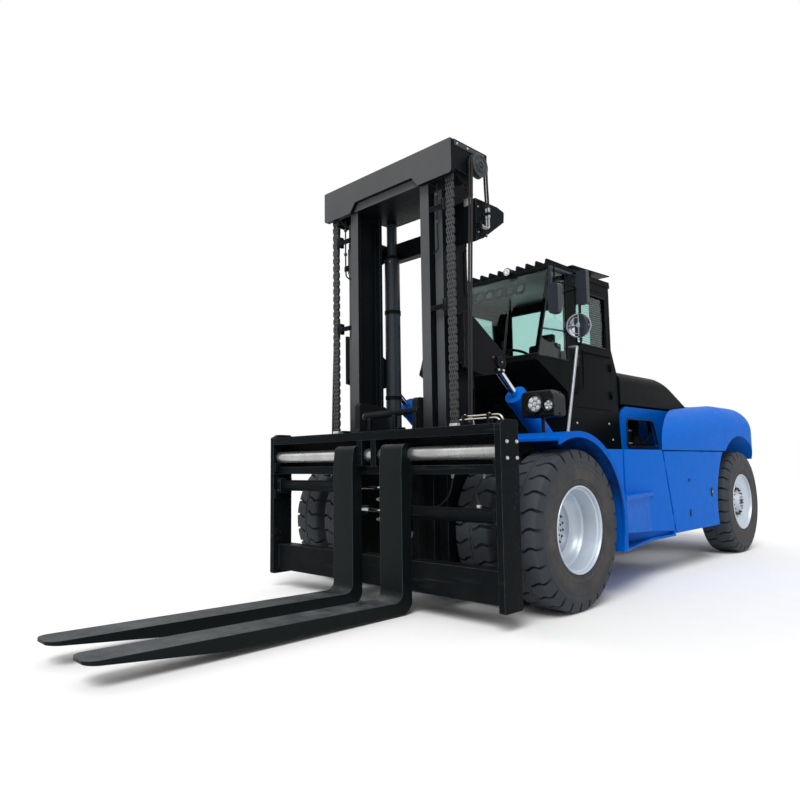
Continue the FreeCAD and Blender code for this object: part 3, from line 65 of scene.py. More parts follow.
def makeCamera(view):
    turn, rise, roll = (math.radians(view[key]) for key in ("turn", "rise", "roll"))
    ahead = Vector((-math.sin(turn) * math.cos(rise), math.cos(turn) * math.cos(rise), math.sin(rise)))
    level = Vector((math.cos(turn), math.sin(turn), 0))
    above = level.cross(ahead)
    side = level * math.cos(roll) + above * math.sin(roll)
    top = above * math.cos(roll) - level * math.sin(roll)
    data = bpy.data.cameras.new("camera")
    data.lens, data.sensor_width = view["lens"], 36
    data.clip_end = 200
    camera = bpy.data.objects.new("camera", data)
    bpy.context.scene.collection.objects.link(camera)
    camera.matrix_world = Matrix((side, top, -ahead)).transposed().to_4x4()
    camera.location = at(*view["place"])
    bpy.context.scene.camera = camera


makeCamera(view)
print("camera made")

# Shader groups: each gives only colours, masks, values or normals


class Shades:  # a small hand for wiring nodes in one tree
    def __init__(self, tree):
        self.tree = tree

    def add(self, kind, values=(), **settings):
        node = self.tree.nodes.new(kind)
        for key, value in settings.items():
            setattr(node, key, value)
        for key, value in dict(values).items():
            self.feed(value, node.inputs[key])
        return node

    def feed(self, value, socket):
        if isinstance(value, bpy.types.NodeSocket):
            self.tree.links.new(value, socket)
        else:
            socket.default_value = value

    def math(self, how, a, b=0.0, clamp=False):
        node = self.add("ShaderNodeMath", operation=how, use_clamp=clamp)
        for index, value in enumerate((a, b)):
            self.feed(value, node.inputs[index])
        return node.outputs[0]

    def times(self, first, second, clamp=False):
        return self.math("MULTIPLY", first, second, clamp=clamp)

    def noise(self, vector, scale, detail, rough=0.55):
        node = self.add("ShaderNodeTexNoise", {"Vector": vector, "Scale": scale, "Detail": detail,
                                               "Roughness": rough})
        return node.outputs["Fac"]

    def span(self, value, low, high, to=(0.0, 1.0)):
        node = self.add("ShaderNodeMapRange", {"Value": value, "From Min": low, "From Max": high,
                                               "To Min": to[0], "To Max": to[1]}, clamp=True)
        return node.outputs["Result"]

    def mix(self, factor, a, b):
        node = self.add("ShaderNodeMix", data_type="RGBA")
        self.feed(factor, node.inputs[0])
        for value, socket in ((a, node.inputs[6]), (b, node.inputs[7])):
            self.feed(value, socket)
        return node.outputs[2]

    def place(self):
        return self.add("ShaderNodeTexCoord").outputs["Object"]

    def split(self, vector):
        return self.add("ShaderNodeSeparateXYZ", {0: vector}).outputs


def makeGroup(name, inputs, outputs):
    tree = bpy.data.node_groups.new(name, "ShaderNodeTree")
    kinds = {"f": "NodeSocketFloat", "c": "NodeSocketColor", "v": "NodeSocketVector"}
    for title, (kind, value) in inputs.items():
        socket = tree.interface.new_socket(title, in_out="INPUT", socket_type=kinds[kind])
        socket.default_value = value
    for title, kind in outputs.items():
        tree.interface.new_socket(title, in_out="OUTPUT", socket_type=kinds[kind])
    hand = Shades(tree)
    start = tree.nodes.new("NodeGroupInput").outputs
    end = tree.nodes.new("NodeGroupOutput").inputs
    return hand, start, end, tree


def makeEdgeWearAndHighlight():  # rounds sharp edges and finds where paint rubs off them, and where a painted highlight lightens them
    hand, start, end, tree = makeGroup(
        "edgeWearAndHighlight", {"Width": ("f", 0.006), "Amount": ("f", 0.5), "Scale": ("f", 9.0)},
        {"Mask": "f", "Normal": "v"})
    soft = hand.add("ShaderNodeBevel", {"Radius": start["Width"]}, samples=4).outputs[0]
    flat = hand.add("ShaderNodeNewGeometry").outputs["Normal"]
    turn = hand.add("ShaderNodeVectorMath", {0: soft, 1: flat}, operation="DOT_PRODUCT").outputs["Value"]
    edge = hand.span(turn, 0.995, 0.86)
    patch = hand.noise(hand.place(), start["Scale"], 6.0, 0.7)
    patch = hand.math("ADD", patch, hand.times(start["Amount"], 0.35))
    # the mask lays the bare colour on edges: worn paint and a painted edge highlight
    worn = hand.times(edge, hand.span(patch, 0.6, 0.72))
    hand.feed(hand.times(worn, start["Amount"], clamp=True), end["Mask"])
    hand.feed(soft, end["Normal"])
    return tree


def makeColourDrift():  # broad and fine unevenness of a colour
    hand, start, end, tree = makeGroup(
        "colourDrift", {"Colour": ("c", (0.5, 0.5, 0.5, 1)), "Amount": ("f", 0.2), "Scale": ("f", 2.0)},
        {"Colour": "c"})
    place = hand.place()
    broad = hand.noise(place, start["Scale"], 3.0)
    fine = hand.noise(place, hand.times(start["Scale"], 14.0), 5.0, 0.7)
    blend = hand.math("ADD", hand.times(broad, 0.65), hand.times(fine, 0.35))
    level = hand.math("ADD", 1.0, hand.times(hand.math("SUBTRACT", blend, 0.5), start["Amount"]))
    shade = hand.add("ShaderNodeHueSaturation", {"Color": start["Colour"], "Value": level})
    hand.feed(shade.outputs[0], end["Colour"])
    return tree


def makeDustAndUnderShade():  # dust on upward faces and near the ground, painted shade on downward faces, with a patchy edge
    hand, start, end, tree = makeGroup(
        "dustAndUnderShade", {"Top": ("f", 0.3), "Low": ("f", 0.4), "UnderShade": ("f", 0.0), "Reach": ("f", 1.2)},
        {"Mask": "f"})
    place = hand.place()
    height = hand.split(place)["Z"]
    up = hand.split(hand.add("ShaderNodeNewGeometry").outputs["Normal"])["Z"]
    top = hand.times(hand.span(up, 0.5, 1.0), start["Top"])
    low = hand.times(hand.span(height, start["Reach"], 0.0), start["Low"])
    # downward faces: painted shade
    under = hand.times(hand.span(up, 0.0, -0.55), start["UnderShade"])
    whole = hand.math("MAXIMUM", hand.math("MAXIMUM", top, low), under)
    patch = hand.span(hand.noise(place, 3.2, 7.0, 0.66), 0.34, 0.66)
    hand.feed(hand.times(whole, patch, clamp=True), end["Mask"])
    return tree


def makeScratches():  # long fine marks drawn along one axis
    hand, start, end, tree = makeGroup(
        "scratches", {"Along": ("v", (1.0, 1.0, 1.0)), "Scale": ("f", 30.0), "Amount": ("f", 0.4)},
        {"Mask": "f"})
    stretched = hand.add("ShaderNodeVectorMath", {0: hand.place(), 1: start["Along"]},
                         operation="MULTIPLY").outputs[0]
    lines = hand.noise(stretched, start["Scale"], 5.0, 0.6)
    patch = hand.span(hand.noise(hand.place(), 2.6, 4.0), 0.38, 0.68)
    marks = hand.times(hand.span(lines, 0.58, 0.7), patch)
    hand.feed(hand.times(marks, start["Amount"], clamp=True), end["Mask"])
    return tree


def makeRipple():  # the fine height of sprayed, cast or moulded surfaces
    hand, start, end, tree = makeGroup(
        "ripple", {"Scale": ("f", 60.0), "Depth": ("f", 0.5)}, {"Height": "f", "Rough": "f"})
    place = hand.place()
    fine = hand.noise(place, start["Scale"], 3.0)
    broad = hand.noise(place, hand.times(start["Scale"], 0.06), 3.0)
    hand.feed(hand.times(fine, start["Depth"]), end["Height"])
    hand.feed(hand.math("SUBTRACT", broad, 0.5), end["Rough"])
    return tree


groups = {"edgeWearAndHighlight": makeEdgeWearAndHighlight(), "colourDrift": makeColourDrift(), "dustAndUnderShade": makeDustAndUnderShade(),
          "scratches": makeScratches(), "ripple": makeRipple()}


def useGroup(hand, name, values):
    node = hand.tree.nodes.new("ShaderNodeGroup")
    node.node_tree = groups[name]
    for key, value in values.items():
        hand.feed(value, node.inputs[key])
    return node.outputs


# Materials

# what every finish has unless its own row says otherwise
common = dict(drift=0.4, rough=0.34, shine=0.5, metal=0.0, wearAndHighlight=0.0, top=0.2, low=0.0, under=0.0, reach=1.2, grain=60,
              depth=0.1, width=0.006, scratch=0.0, paintedSheen=0.0, marksUp=0, coat=0.0)

finishes = {
    # its dust colour, a darker blue laid towards the ground, is painted shade
    "machineBlue": dict(colour=(0.0, 0.1187, 0.5462), drift=0.14, rough=0.4, shine=0.022, wearAndHighlight=0.22,
        bareAndHighlight=(0.06, 0.26, 0.62), dust=(0.02, 0.1, 0.36), top=0.0, low=0.22, reach=0.9, grain=26),
    # painted shade: a darker copy of machineBlue for the fenders; its near-black dust colour darkens their undersides
    # and low parts, also painted shade
    "shadedFenderBlue": dict(colour=(0.0, 0.095, 0.48), drift=0.25, rough=0.42, shine=0.022, wearAndHighlight=0.35,
        bareAndHighlight=(0.08, 0.28, 0.62), dust=(0.016, 0.011, 0.004), top=0.0, low=0.12, under=1.0, grain=26, depth=0.12),
    # the pale grey this row lays on its forward faces is a painted reflection
    "mastBlack": dict(colour=(0.0045, 0.0062, 0.008), drift=0.5, rough=0.4, shine=0.04, wearAndHighlight=0.65,
        bareAndHighlight=(0.15, 0.17, 0.18), dust=(0.032, 0.032, 0.03), top=0.25, low=0.2, grain=40, depth=0.15, scratch=0.18,
        along=(1.0, 1.0, 0.06), scratchColour=(0.05, 0.055, 0.06), paintedSheen=0.95, paintedSheenColour=(0.092, 0.096, 0.098)),
    "cabBlack": dict(colour=(0.0038, 0.0055, 0.006), shine=0.018, wearAndHighlight=0.5, bareAndHighlight=(0.06, 0.07, 0.075),
        dust=(0.009, 0.012, 0.012), low=0.2, grain=40, depth=0.08),
    "carriageBlack": dict(colour=(0.0042, 0.006, 0.0075), drift=0.5, rough=0.42, shine=0.025, wearAndHighlight=0.75,
        bareAndHighlight=(0.1, 0.115, 0.125), dust=(0.024, 0.021, 0.017), top=0.3, low=0.25, grain=34, depth=0.2, scratch=0.34,
        along=(0.05, 1.0, 1.0), scratchColour=(0.07, 0.078, 0.085)),
    # its dust colour lightens the upward faces, the blade tops, to a bluish grey
    "forkSteel": dict(colour=(0.005, 0.0072, 0.008), drift=0.6, rough=0.42, shine=0.08, wearAndHighlight=0.8,
        bareAndHighlight=(0.12, 0.135, 0.145), dust=(0.094, 0.104, 0.112), top=0.9, grain=30, depth=0.3, scratch=0.75,
        along=(1.0, 0.045, 1.0), scratchColour=(0.24, 0.25, 0.24), marksUp=1),
    "barrelGrey": dict(colour=(0.024, 0.031, 0.04), shine=0.25, wearAndHighlight=0.5, bareAndHighlight=(0.2, 0.22, 0.24),
        dust=(0.05, 0.05, 0.045), top=0.3, low=0.2, grain=40),
    "rimSilver": dict(colour=(0.5, 0.56, 0.63), drift=0.14, rough=0.36, metal=0.35, wearAndHighlight=0.2, bareAndHighlight=(0.72, 0.75, 0.78),
        dust=(0.34, 0.36, 0.37), top=0.25, low=0.35),
    "shaftSteel": dict(colour=(0.46, 0.47, 0.47), drift=0.5, rough=0.26, metal=0.9, wearAndHighlight=0.3, bareAndHighlight=(0.6, 0.6, 0.58),
        dust=(0.17, 0.16, 0.14), top=0.9, low=0.8, reach=2.9, grain=50, depth=0.12, scratch=1.0,
        along=(14.0, 1.0, 1.0), scratchColour=(0.045, 0.042, 0.036)),
    "chromeRod": dict(colour=(0.62, 0.64, 0.67), drift=0.1, rough=0.12, metal=1.0, wearAndHighlight=0.2, bareAndHighlight=(0.7, 0.7, 0.7),
        dust=(0.2, 0.2, 0.19), top=0.15, low=0.1, depth=0.03),
    "brightSteel": dict(colour=(0.34, 0.36, 0.38), drift=0.2, shine=0.4, metal=0.7, bareAndHighlight=(0.7, 0.7, 0.7),
        dust=(0.2, 0.19, 0.17), low=0.2, depth=0.08),
    "chainSteel": dict(colour=(0.043, 0.046, 0.049), drift=0.5, rough=0.42, shine=0.3, metal=0.3, wearAndHighlight=0.9,
        bareAndHighlight=(0.16, 0.16, 0.155), dust=(0.03, 0.024, 0.017), top=0.5, low=0.3, reach=4.5, grain=70, depth=0.15,
        width=0.003),
    "castBlack": dict(colour=(0.006, 0.0072, 0.0085), drift=0.5, rough=0.6, shine=0.1, wearAndHighlight=0.4,
        bareAndHighlight=(0.07, 0.07, 0.07), dust=(0.03, 0.026, 0.02), top=0.5, low=0.5, grain=24, depth=0.6),
    "trimPlastic": dict(colour=(0.006, 0.007, 0.0078), drift=0.3, rough=0.38, shine=0.15, wearAndHighlight=0.25,
        bareAndHighlight=(0.05, 0.052, 0.055), dust=(0.03, 0.03, 0.028), low=0.1, grain=140, depth=0.25),
    "mirrorShell": dict(colour=(0.022, 0.028, 0.038), drift=0.3, shine=0.25, wearAndHighlight=0.25, bareAndHighlight=(0.12, 0.13, 0.15),
        dust=(0.06, 0.06, 0.06), grain=120, depth=0.2),
    "rubberHose": dict(colour=(0.01, 0.01, 0.011), rough=0.5, shine=0.25, bareAndHighlight=(0.03, 0.03, 0.03),
        dust=(0.05, 0.045, 0.035), top=0.35, low=0.2, grain=90, depth=0.3),
    "brass": dict(colour=(0.42, 0.33, 0.17), rough=0.32, metal=0.85, wearAndHighlight=0.3, bareAndHighlight=(0.6, 0.55, 0.4),
        dust=(0.2, 0.17, 0.12), top=0.3),
    "zincSteel": dict(colour=(0.52, 0.53, 0.53), drift=0.3, metal=0.55, wearAndHighlight=0.3, bareAndHighlight=(0.7, 0.7, 0.7),
        dust=(0.25, 0.22, 0.17), top=0.3, low=0.1, grain=80, depth=0.15),
    "redCap": dict(colour=(0.36, 0.01, 0.014), drift=0.2, rough=0.4, shine=0.4, bareAndHighlight=(0.4, 0.1, 0.1),
        dust=(0.2, 0.1, 0.1), top=0.1),
    "bayDark": dict(colour=(0.006, 0.008, 0.012), rough=0.6, shine=0.1, bareAndHighlight=(0.02, 0.02, 0.02),
        dust=(0.02, 0.02, 0.02), grain=50, depth=0.2),
    "lampWhite": dict(colour=(0.78, 0.82, 0.85), drift=0.15, rough=0.18, bareAndHighlight=(0.8, 0.8, 0.8), dust=(0.6, 0.6, 0.58),
        top=0.1, grain=120),
    "seatCloth": dict(colour=(0.02, 0.022, 0.026), drift=0.5, rough=0.88, shine=0.1, wearAndHighlight=0.25,
        bareAndHighlight=(0.05, 0.052, 0.056), dust=(0.05, 0.05, 0.05), top=0.25, grain=220, depth=1.2, width=0.012),
}


def newMaterial(name):
    material = bpy.data.materials.new(name)
    material.use_nodes = True
    return material, Shades(material.node_tree), material.node_tree.nodes["Principled BSDF"]


def makeFinish(name, look):  # painted, plated and moulded surfaces share this recipe
    look = dict(common, **look)
    material, hand, surface = newMaterial(name)
    edge = useGroup(hand, "edgeWearAndHighlight", {"Width": look["width"], "Amount": look["wearAndHighlight"]})
    base = useGroup(hand, "colourDrift", {"Colour": (*look["colour"], 1), "Amount": look["drift"]})["Colour"]
    if look["scratch"]:
        marks = useGroup(hand, "scratches", {"Along": look["along"], "Amount": look["scratch"]})["Mask"]
        if look["marksUp"]:  # only where loads slide
            rise = hand.split(hand.add("ShaderNodeNewGeometry").outputs["Normal"])["Z"]
            marks = hand.times(marks, hand.span(rise, 0.6, 0.95))
        base = hand.mix(marks, base, (*look["scratchColour"], 1))
    if look["paintedSheen"]:  # painted reflection: forward faces in front of the rails, from about 1.6 m up, are lightened to a pale grey
        front = hand.split(hand.add("ShaderNodeNewGeometry").outputs["True Normal"])["Y"]
        patch = hand.span(hand.noise(hand.place(), 1.4, 5.0), 0.2, 0.8, (0.7, 1.0))
        paintedSheen = hand.times(hand.times(hand.span(front, -0.7, -0.95), look["paintedSheen"]), patch)
        paintedSheen = hand.times(paintedSheen, hand.span(hand.split(hand.place())["Y"], axleY - 0.68, axleY - 0.71))
        paintedSheen = hand.times(paintedSheen, hand.span(hand.split(hand.place())["Z"], 1.6, 2.1))
        base = hand.mix(paintedSheen, base, (*look["paintedSheenColour"], 1))
    dustAndShade = useGroup(hand, "dustAndUnderShade", {"Top": look["top"], "Low": look["low"], "UnderShade": look["under"],
                                       "Reach": look["reach"]})["Mask"]
    # dust, and for the blue finishes painted shade low down and underneath
    base = hand.mix(dustAndShade, base, (*look["dust"], 1))
    # pale sharp edges: worn paint, and a painted highlight along the edges
    base = hand.mix(edge["Mask"], base, (*look["bareAndHighlight"], 1))
    wave = useGroup(hand, "ripple", {"Scale": look["grain"] * 6.0, "Depth": look["depth"]})
    rough = hand.math("ADD", hand.times(wave["Rough"], 0.3), look["rough"])
    rough = hand.math("ADD", rough, hand.times(dustAndShade, 0.3), clamp=True)
    bump = hand.add("ShaderNodeBump", {"Strength": 0.25, "Distance": 0.002, "Height": wave["Height"],
                                       "Normal": edge["Normal"]})
    hand.feed(base, surface.inputs["Base Color"])
    hand.feed(rough, surface.inputs["Roughness"])
    hand.feed(bump.outputs[0], surface.inputs["Normal"])
    surface.inputs["Metallic"].default_value = look["metal"]
    surface.inputs["Specular IOR Level"].default_value = look["shine"]
    surface.inputs["Coat Weight"].default_value = look["coat"]
    surface.inputs["Coat Roughness"].default_value = 0.12
    return material


def makeTyreRubber():  # rings, ribs, road dust and painted shade in the tread grooves, laid out round the wheel's own axle
    material, hand, surface = newMaterial("tyreRubber")
    place = hand.place()
    parts = hand.split(place)
    radius = hand.math("SQRT", hand.math("ADD", hand.times(parts["Y"], parts["Y"]),
                                         hand.times(parts["Z"], parts["Z"])))
    turn = hand.math("ARCTAN2", parts["Y"], parts["Z"])
    base = useGroup(hand, "colourDrift", {"Colour": (0.036, 0.041, 0.048, 1), "Amount": 0.7, "Scale": 5.0})["Colour"]
    worn = hand.times(hand.span(radius, 0.722, 0.742), 0.55)
    base = hand.mix(worn, base, (0.058, 0.065, 0.074, 1))
    # painted shade: groove floors and walls darkened near to black
    groove = hand.times(hand.span(radius, 0.735, 0.715),
                       hand.span(hand.math("ABSOLUTE", hand.split(hand.add("ShaderNodeNewGeometry").outputs[
                           "Normal"])["X"]), 0.75, 0.45))
    base = hand.mix(hand.times(groove, 0.7), base, (0.012, 0.012, 0.013, 1))
    belt = hand.times(hand.span(radius, 0.64, 0.55), hand.span(radius, 0.4, 0.46))
    patch = hand.span(hand.noise(place, 5.0, 7.0, 0.7), 0.36, 0.66)
    dust = hand.times(hand.times(belt, patch), 0.8)
    base = hand.mix(dust, base, (0.1, 0.086, 0.078, 1))
    ribs = hand.math("SINE", hand.times(turn, 190.0))
    ribs = hand.times(ribs, hand.times(hand.span(radius, 0.6, 0.56),
                                                 hand.span(radius, 0.46, 0.49)))
    wave = useGroup(hand, "ripple", {"Scale": 260.0, "Depth": 0.8})
    height = hand.math("ADD", wave["Height"], hand.times(ribs, 0.5))
    bump = hand.add("ShaderNodeBump", {"Strength": 0.8, "Distance": 0.004, "Height": height})
    hand.feed(base, surface.inputs["Base Color"])
    hand.feed(hand.math("ADD", 0.55, hand.times(dust, 0.5), clamp=True), surface.inputs["Roughness"])
    hand.feed(bump.outputs[0], surface.inputs["Normal"])
    surface.inputs["Specular IOR Level"].default_value = 0.1
    return material


def makeGlass(name, colour):
    material, hand, surface = newMaterial(name)
    tint = useGroup(hand, "colourDrift", {"Colour": (*colour, 1), "Amount": 0.1, "Scale": 0.8})["Colour"]
    smear = hand.span(hand.noise(hand.place(), 1.7, 6.0, 0.7), 0.35, 0.75, (0.0, 0.06))
    hand.feed(tint, surface.inputs["Base Color"])
    hand.feed(smear, surface.inputs["Roughness"])
    surface.inputs["Transmission Weight"].default_value = 1.0
    surface.inputs["IOR"].default_value = 1.25
    return material


materials = {name: makeFinish(name, look) for name, look in finishes.items()}
materials["tyreRubber"] = makeTyreRubber()
materials["cabGlass"] = makeGlass("cabGlass", (0.6, 0.8, 0.77))
materials["lampGlass"] = makeGlass("lampGlass", (0.97, 0.98, 0.99))
# finishes that differ from another in a few things
variants = {
    "mirrorGlass": dict(finishes["chromeRod"], rough=0.04, width=0.001),
    "paleBrass": dict(finishes["brass"], colour=(0.52, 0.5, 0.42)),
    "lampBowl": dict(finishes["zincSteel"], colour=(0.27, 0.29, 0.31), metal=0.0),
    "mirrorRim": dict(finishes["zincSteel"], colour=(0.3, 0.33, 0.37), metal=0.2),
    "liningGrey": dict(finishes["trimPlastic"], colour=(0.16, 0.18, 0.17)),
    "blindGrey": dict(finishes["trimPlastic"], colour=(0.1, 0.17, 0.17)),
    "redLens": dict(finishes["redCap"], colour=(0.42, 0.008, 0.01), rough=0.15, coat=0.4),
    "amberLens": dict(finishes["redCap"], colour=(0.55, 0.17, 0.01), rough=0.15, coat=0.4,
                      bareAndHighlight=(0.6, 0.3, 0.1), dust=(0.3, 0.2, 0.1)),
}
for name, look in variants.items():
    materials[name] = makeFinish(name, look)

print("materials made")

nodeFinish = {
    "rimSilver": ("front_rims_left", "front_rims_right", "rear_rim_left", "rear_rim_right"),
    "castBlack": ("drive_axle", "steer_axle", "steer_knuckle_left", "steer_knuckle_right", "chassis_frame",
                  "engine_block", "roller_brackets", "chain_sheaves"),
    "mastBlack": ("outer_mast_rails", "outer_mast_ties", "inner_mast_rails", "mast_head_beam"),
    # painted shade: lift_rods take the dark barrel grey because the rods sit in shadow
    "barrelGrey": ("lift_barrels", "lift_rods"),
    "chromeRod": ("tilt_rods", "pusher_rod_left", "pusher_rod_right"),
    "carriageBlack": ("carriage_top_beam", "carriage_side_plates", "carriage_foot_beam", "positioner_tubes"),
    "forkSteel": ("fork_left", "fork_right"),
    "shaftSteel": ("fork_shaft",),
    "machineBlue": ("tilt_barrels", "side_tanks", "rear_side_door_left", "rear_side_door_right",
                    "counterweight", "rear_side_shells"),
    "shadedFenderBlue": ("front_fenders",),
    "cabBlack": ("hood", "cab_base", "cab_front_wall", "cab_sides", "cab_rear_wall", "cab_roof",
                 "cab_door_left", "cab_door_right"),
    "cabGlass": ("cab_glass", "cab_door_glass_left", "cab_door_glass_right"),
    "trimPlastic": ("steering_column", "headlamps"),
    "mirrorShell": ("mirror_brackets",),
    "brightSteel": ("grab_rails",),
}
for finish, names in nodeFinish.items():
    for name in names:
        nodes[name].data.materials.clear()
        nodes[name].data.materials.append(materials[finish])
print("nodes dressed")

# Making and placing pieces


def addBox(shape, low, high, bevel):
    low, high = Vector(low), Vector(high)
    made = bmesh.ops.create_cube(shape, size=1)["verts"]
    bmesh.ops.scale(shape, vec=high - low, verts=made)
    if bevel:
        edges = list({edge for vert in made for edge in vert.link_edges})
        result = bmesh.ops.bevel(shape, geom=edges, offset=bevel, segments=2, profile=0.5, affect="EDGES")
        made = result["verts"]
    bmesh.ops.translate(shape, vec=(low + high) / 2, verts=made)


def axisTurn(direction):  # turns the z axis on to a direction
    return Vector((0, 0, 1)).rotation_difference(Vector(direction)).to_matrix()


def joinRings(shape, rings, closed=False):  # faces between rings of points, with two lids unless it closes on itself
    count = len(rings[0])
    for first, second in zip(rings, rings[1:] + (rings[:1] if closed else [])):
        for step in range(count):
            after = (step + 1) % count
            shape.faces.new((first[step], first[after], second[after], second[step]))
    if not closed:
        shape.faces.new(list(reversed(rings[0])))
        shape.faces.new(rings[-1])


def around(count, radius, shift=0.0):  # places on a circle, shift is a share of one step
    angles = (2 * math.pi * (step + shift) / count for step in range(count))
    return [(radius * math.cos(angle), radius * math.sin(angle)) for angle in angles]


def addLathe(shape, profile, centre, axis, turns):  # profile holds (along, radius) pairs
    turn, centre = axisTurn(axis), Vector(centre)
    joinRings(shape, [[shape.verts.new(turn @ Vector((*place, along)) + centre) for place in around(turns, radius)]
                      for along, radius in profile])


def addRod(shape, start, end, radius, turns):
    start, end = Vector(start), Vector(end)
    size = (end - start).length
    bevel = min(0.002, radius * 0.4, size * 0.3)
    profile = [(0, radius - bevel), (bevel, radius), (size - bevel, radius), (size, radius - bevel)]
    addLathe(shape, profile, start, end - start, turns)


def addBolt(shape, place, axis, size, thick):  # a hexagon head on its washer
    place, axis = Vector(place), Vector(axis).normalized()
    addLathe(shape, [(0, size * 1.15), (thick * 0.25, size * 1.15)], place, axis, 20)
    addLathe(shape, [(0, size), (thick * 0.85, size), (thick, size * 0.85)], place, axis, 6)


def smoothRoute(points, steps=8):  # points read along the smooth line that a few points guide
    curve = bpy.data.curves.new("route", "CURVE")
    curve.dimensions = "3D"
    spline = curve.splines.new("NURBS")
    spline.points.add(len(points) - 1)
    for guide, point in zip(spline.points, points):
        guide.co = (*point, 1)
    spline.order_u = 3
    spline.use_endpoint_u = True
    spline.resolution_u = steps
    holder = bpy.data.objects.new("route", curve)
    mesh = bpy.data.meshes.new_from_object(holder)
    line = [vert.co.copy() for vert in mesh.vertices]
    bpy.data.objects.remove(holder)
    bpy.data.meshes.remove(mesh)
    bpy.data.curves.remove(curve)
    return line


def addTube(shape, line, radius, turns, closed=False):  # a tube that follows a line of points
    count = len(line)
    up = Vector((0, 0, 1))
    rings = []
    for index, point in enumerate(line):
        before = line[(index - 1) % count] if closed or index else line[0]
        after = line[(index + 1) % count] if closed or index < count - 1 else line[-1]
        ahead = (Vector(after) - Vector(before)).normalized()
        side = ahead.cross(up)
        side = (side if side.length > 0.1 else ahead.cross(Vector((1, 0, 0)))).normalized()
        up = side.cross(ahead)
        rings.append([shape.verts.new(Vector(point) + side * c + up * s) for c, s in around(turns, radius)])
    joinRings(shape, rings, closed)


def addSlab(shape, outline, shift):  # an outline of points pushed out by a vector
    joinRings(shape, [[shape.verts.new(Vector(point) + out) for point in outline]
                      for out in (Vector(), Vector(shift))])


def placePiece(name, shape, material, body=None, centre=None, smooth=38):
    bmesh.ops.recalc_face_normals(shape, faces=shape.faces)
    if centre is not None:
        bmesh.ops.translate(shape, vec=-Vector(centre), verts=shape.verts)
    mesh = bpy.data.meshes.new(name)
    shape.to_mesh(mesh)
    shape.free()
    mesh.materials.append(materials[material])
    mesh.polygons.foreach_set("use_smooth", [True] * len(mesh.polygons))
    mesh.set_sharp_from_angle(angle=math.radians(smooth))
    piece = bpy.data.objects.new(name, mesh)
    bpy.context.scene.collection.objects.link(piece)
    if centre is not None:
        piece.location = centre
    if body:
        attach(piece, body)
    return piece


def onSide(point, way):  # a point on the left or, mirrored, on the right
    return at(point[0] * way, *point[1:])


# Parts of a piece: each call gives a function that adds the part to a shape, on the side way says


def box(low, high, bevel=0.004):
    return lambda shape, way: addBox(shape, onSide(low, way), onSide(high, way), bevel)


def bolt(place, size, thick, axis=(1, 0, 0)):
    return lambda shape, way: addBolt(shape, onSide(place, way), (axis[0] * way, *axis[1:]), size, thick)


def lathe(profile, place, axis=(1, 0, 0), turns=32):
    return lambda shape, way: addLathe(shape, profile, onSide(place, way), (axis[0] * way, *axis[1:]), turns)


def rod(start, end, radius, turns=16):
    return lambda shape, way: addRod(shape, onSide(start, way), onSide(end, way), radius, turns)


def tube(points, radius, turns=8, closed=False):
    return lambda shape, way: addTube(shape, [onSide(point, way) for point in points], radius, turns, closed)


def pipe(points, radius, turns=8):  # a tube along the smooth line that the points guide
    return lambda shape, way: addTube(shape, smoothRoute([onSide(point, way) for point in points]), radius, turns)


def both(*parts):  # the same parts on the left and on the right
    return [lambda shape, way, part=part, hand=hand: part(shape, hand) for hand in (1, -1) for part in parts]


def makePiece(name, material, body, parts, way=1):
    shape = bmesh.new()
    for part in parts:
        part(shape, way)
    return placePiece(name, shape, material, body)


sides = {"left": 1, "right": -1}

# Hoses that run free between the mast head and the carriage, and on the carriage

hoses = dict(size=0.022, front=[(-0.725, 1.72), (-0.715, 2.2), (-0.68, 3.1), (-0.64, 3.95), (-0.628, 4.22)],
             over=[(-0.6275, 4.342), (-0.559, 4.41), (-0.461, 4.41), (-0.3925, 4.342), (-0.3925, 4.24)],
             back=[(-0.3925, 4.24), (-0.39, 4.12), (-0.38, 4.0), (-0.375, 3.88)])


def makeHose(name, guides, radius, body=None, blended=None):
    line = smoothRoute(guides, 10)
    shape = bmesh.new()
    addTube(shape, line, radius, 12)
    piece = placePiece(name, shape, "rubberHose", body)
    if blended:
        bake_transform(piece)


for side, way in sides.items():
    for number, x in enumerate((0.978, 1.008)):
        x *= way
        title = side.capitalize() + str(number + 1)
        makeHose("mastHoseFront" + title, [at(x, y, z) for y, z in hoses["front"] + hoses["over"]],
                 hoses["size"] / 2, blended=("inner_mast", "carriage", at(x, -0.7, 4.2), at(x, -0.7, 1.76)))
        makeHose("mastHoseRear" + title, [at(x, y, z) for y, z in hoses["back"]], hoses["size"] / 2,
                 blended=("mast", "inner_mast", at(x, -0.36, 3.85), at(x, -0.36, 4.2)))
print("hoses made")

# Tyres

tyre = dict(lugs=28, outer=wheelRadius, groove=0.024)


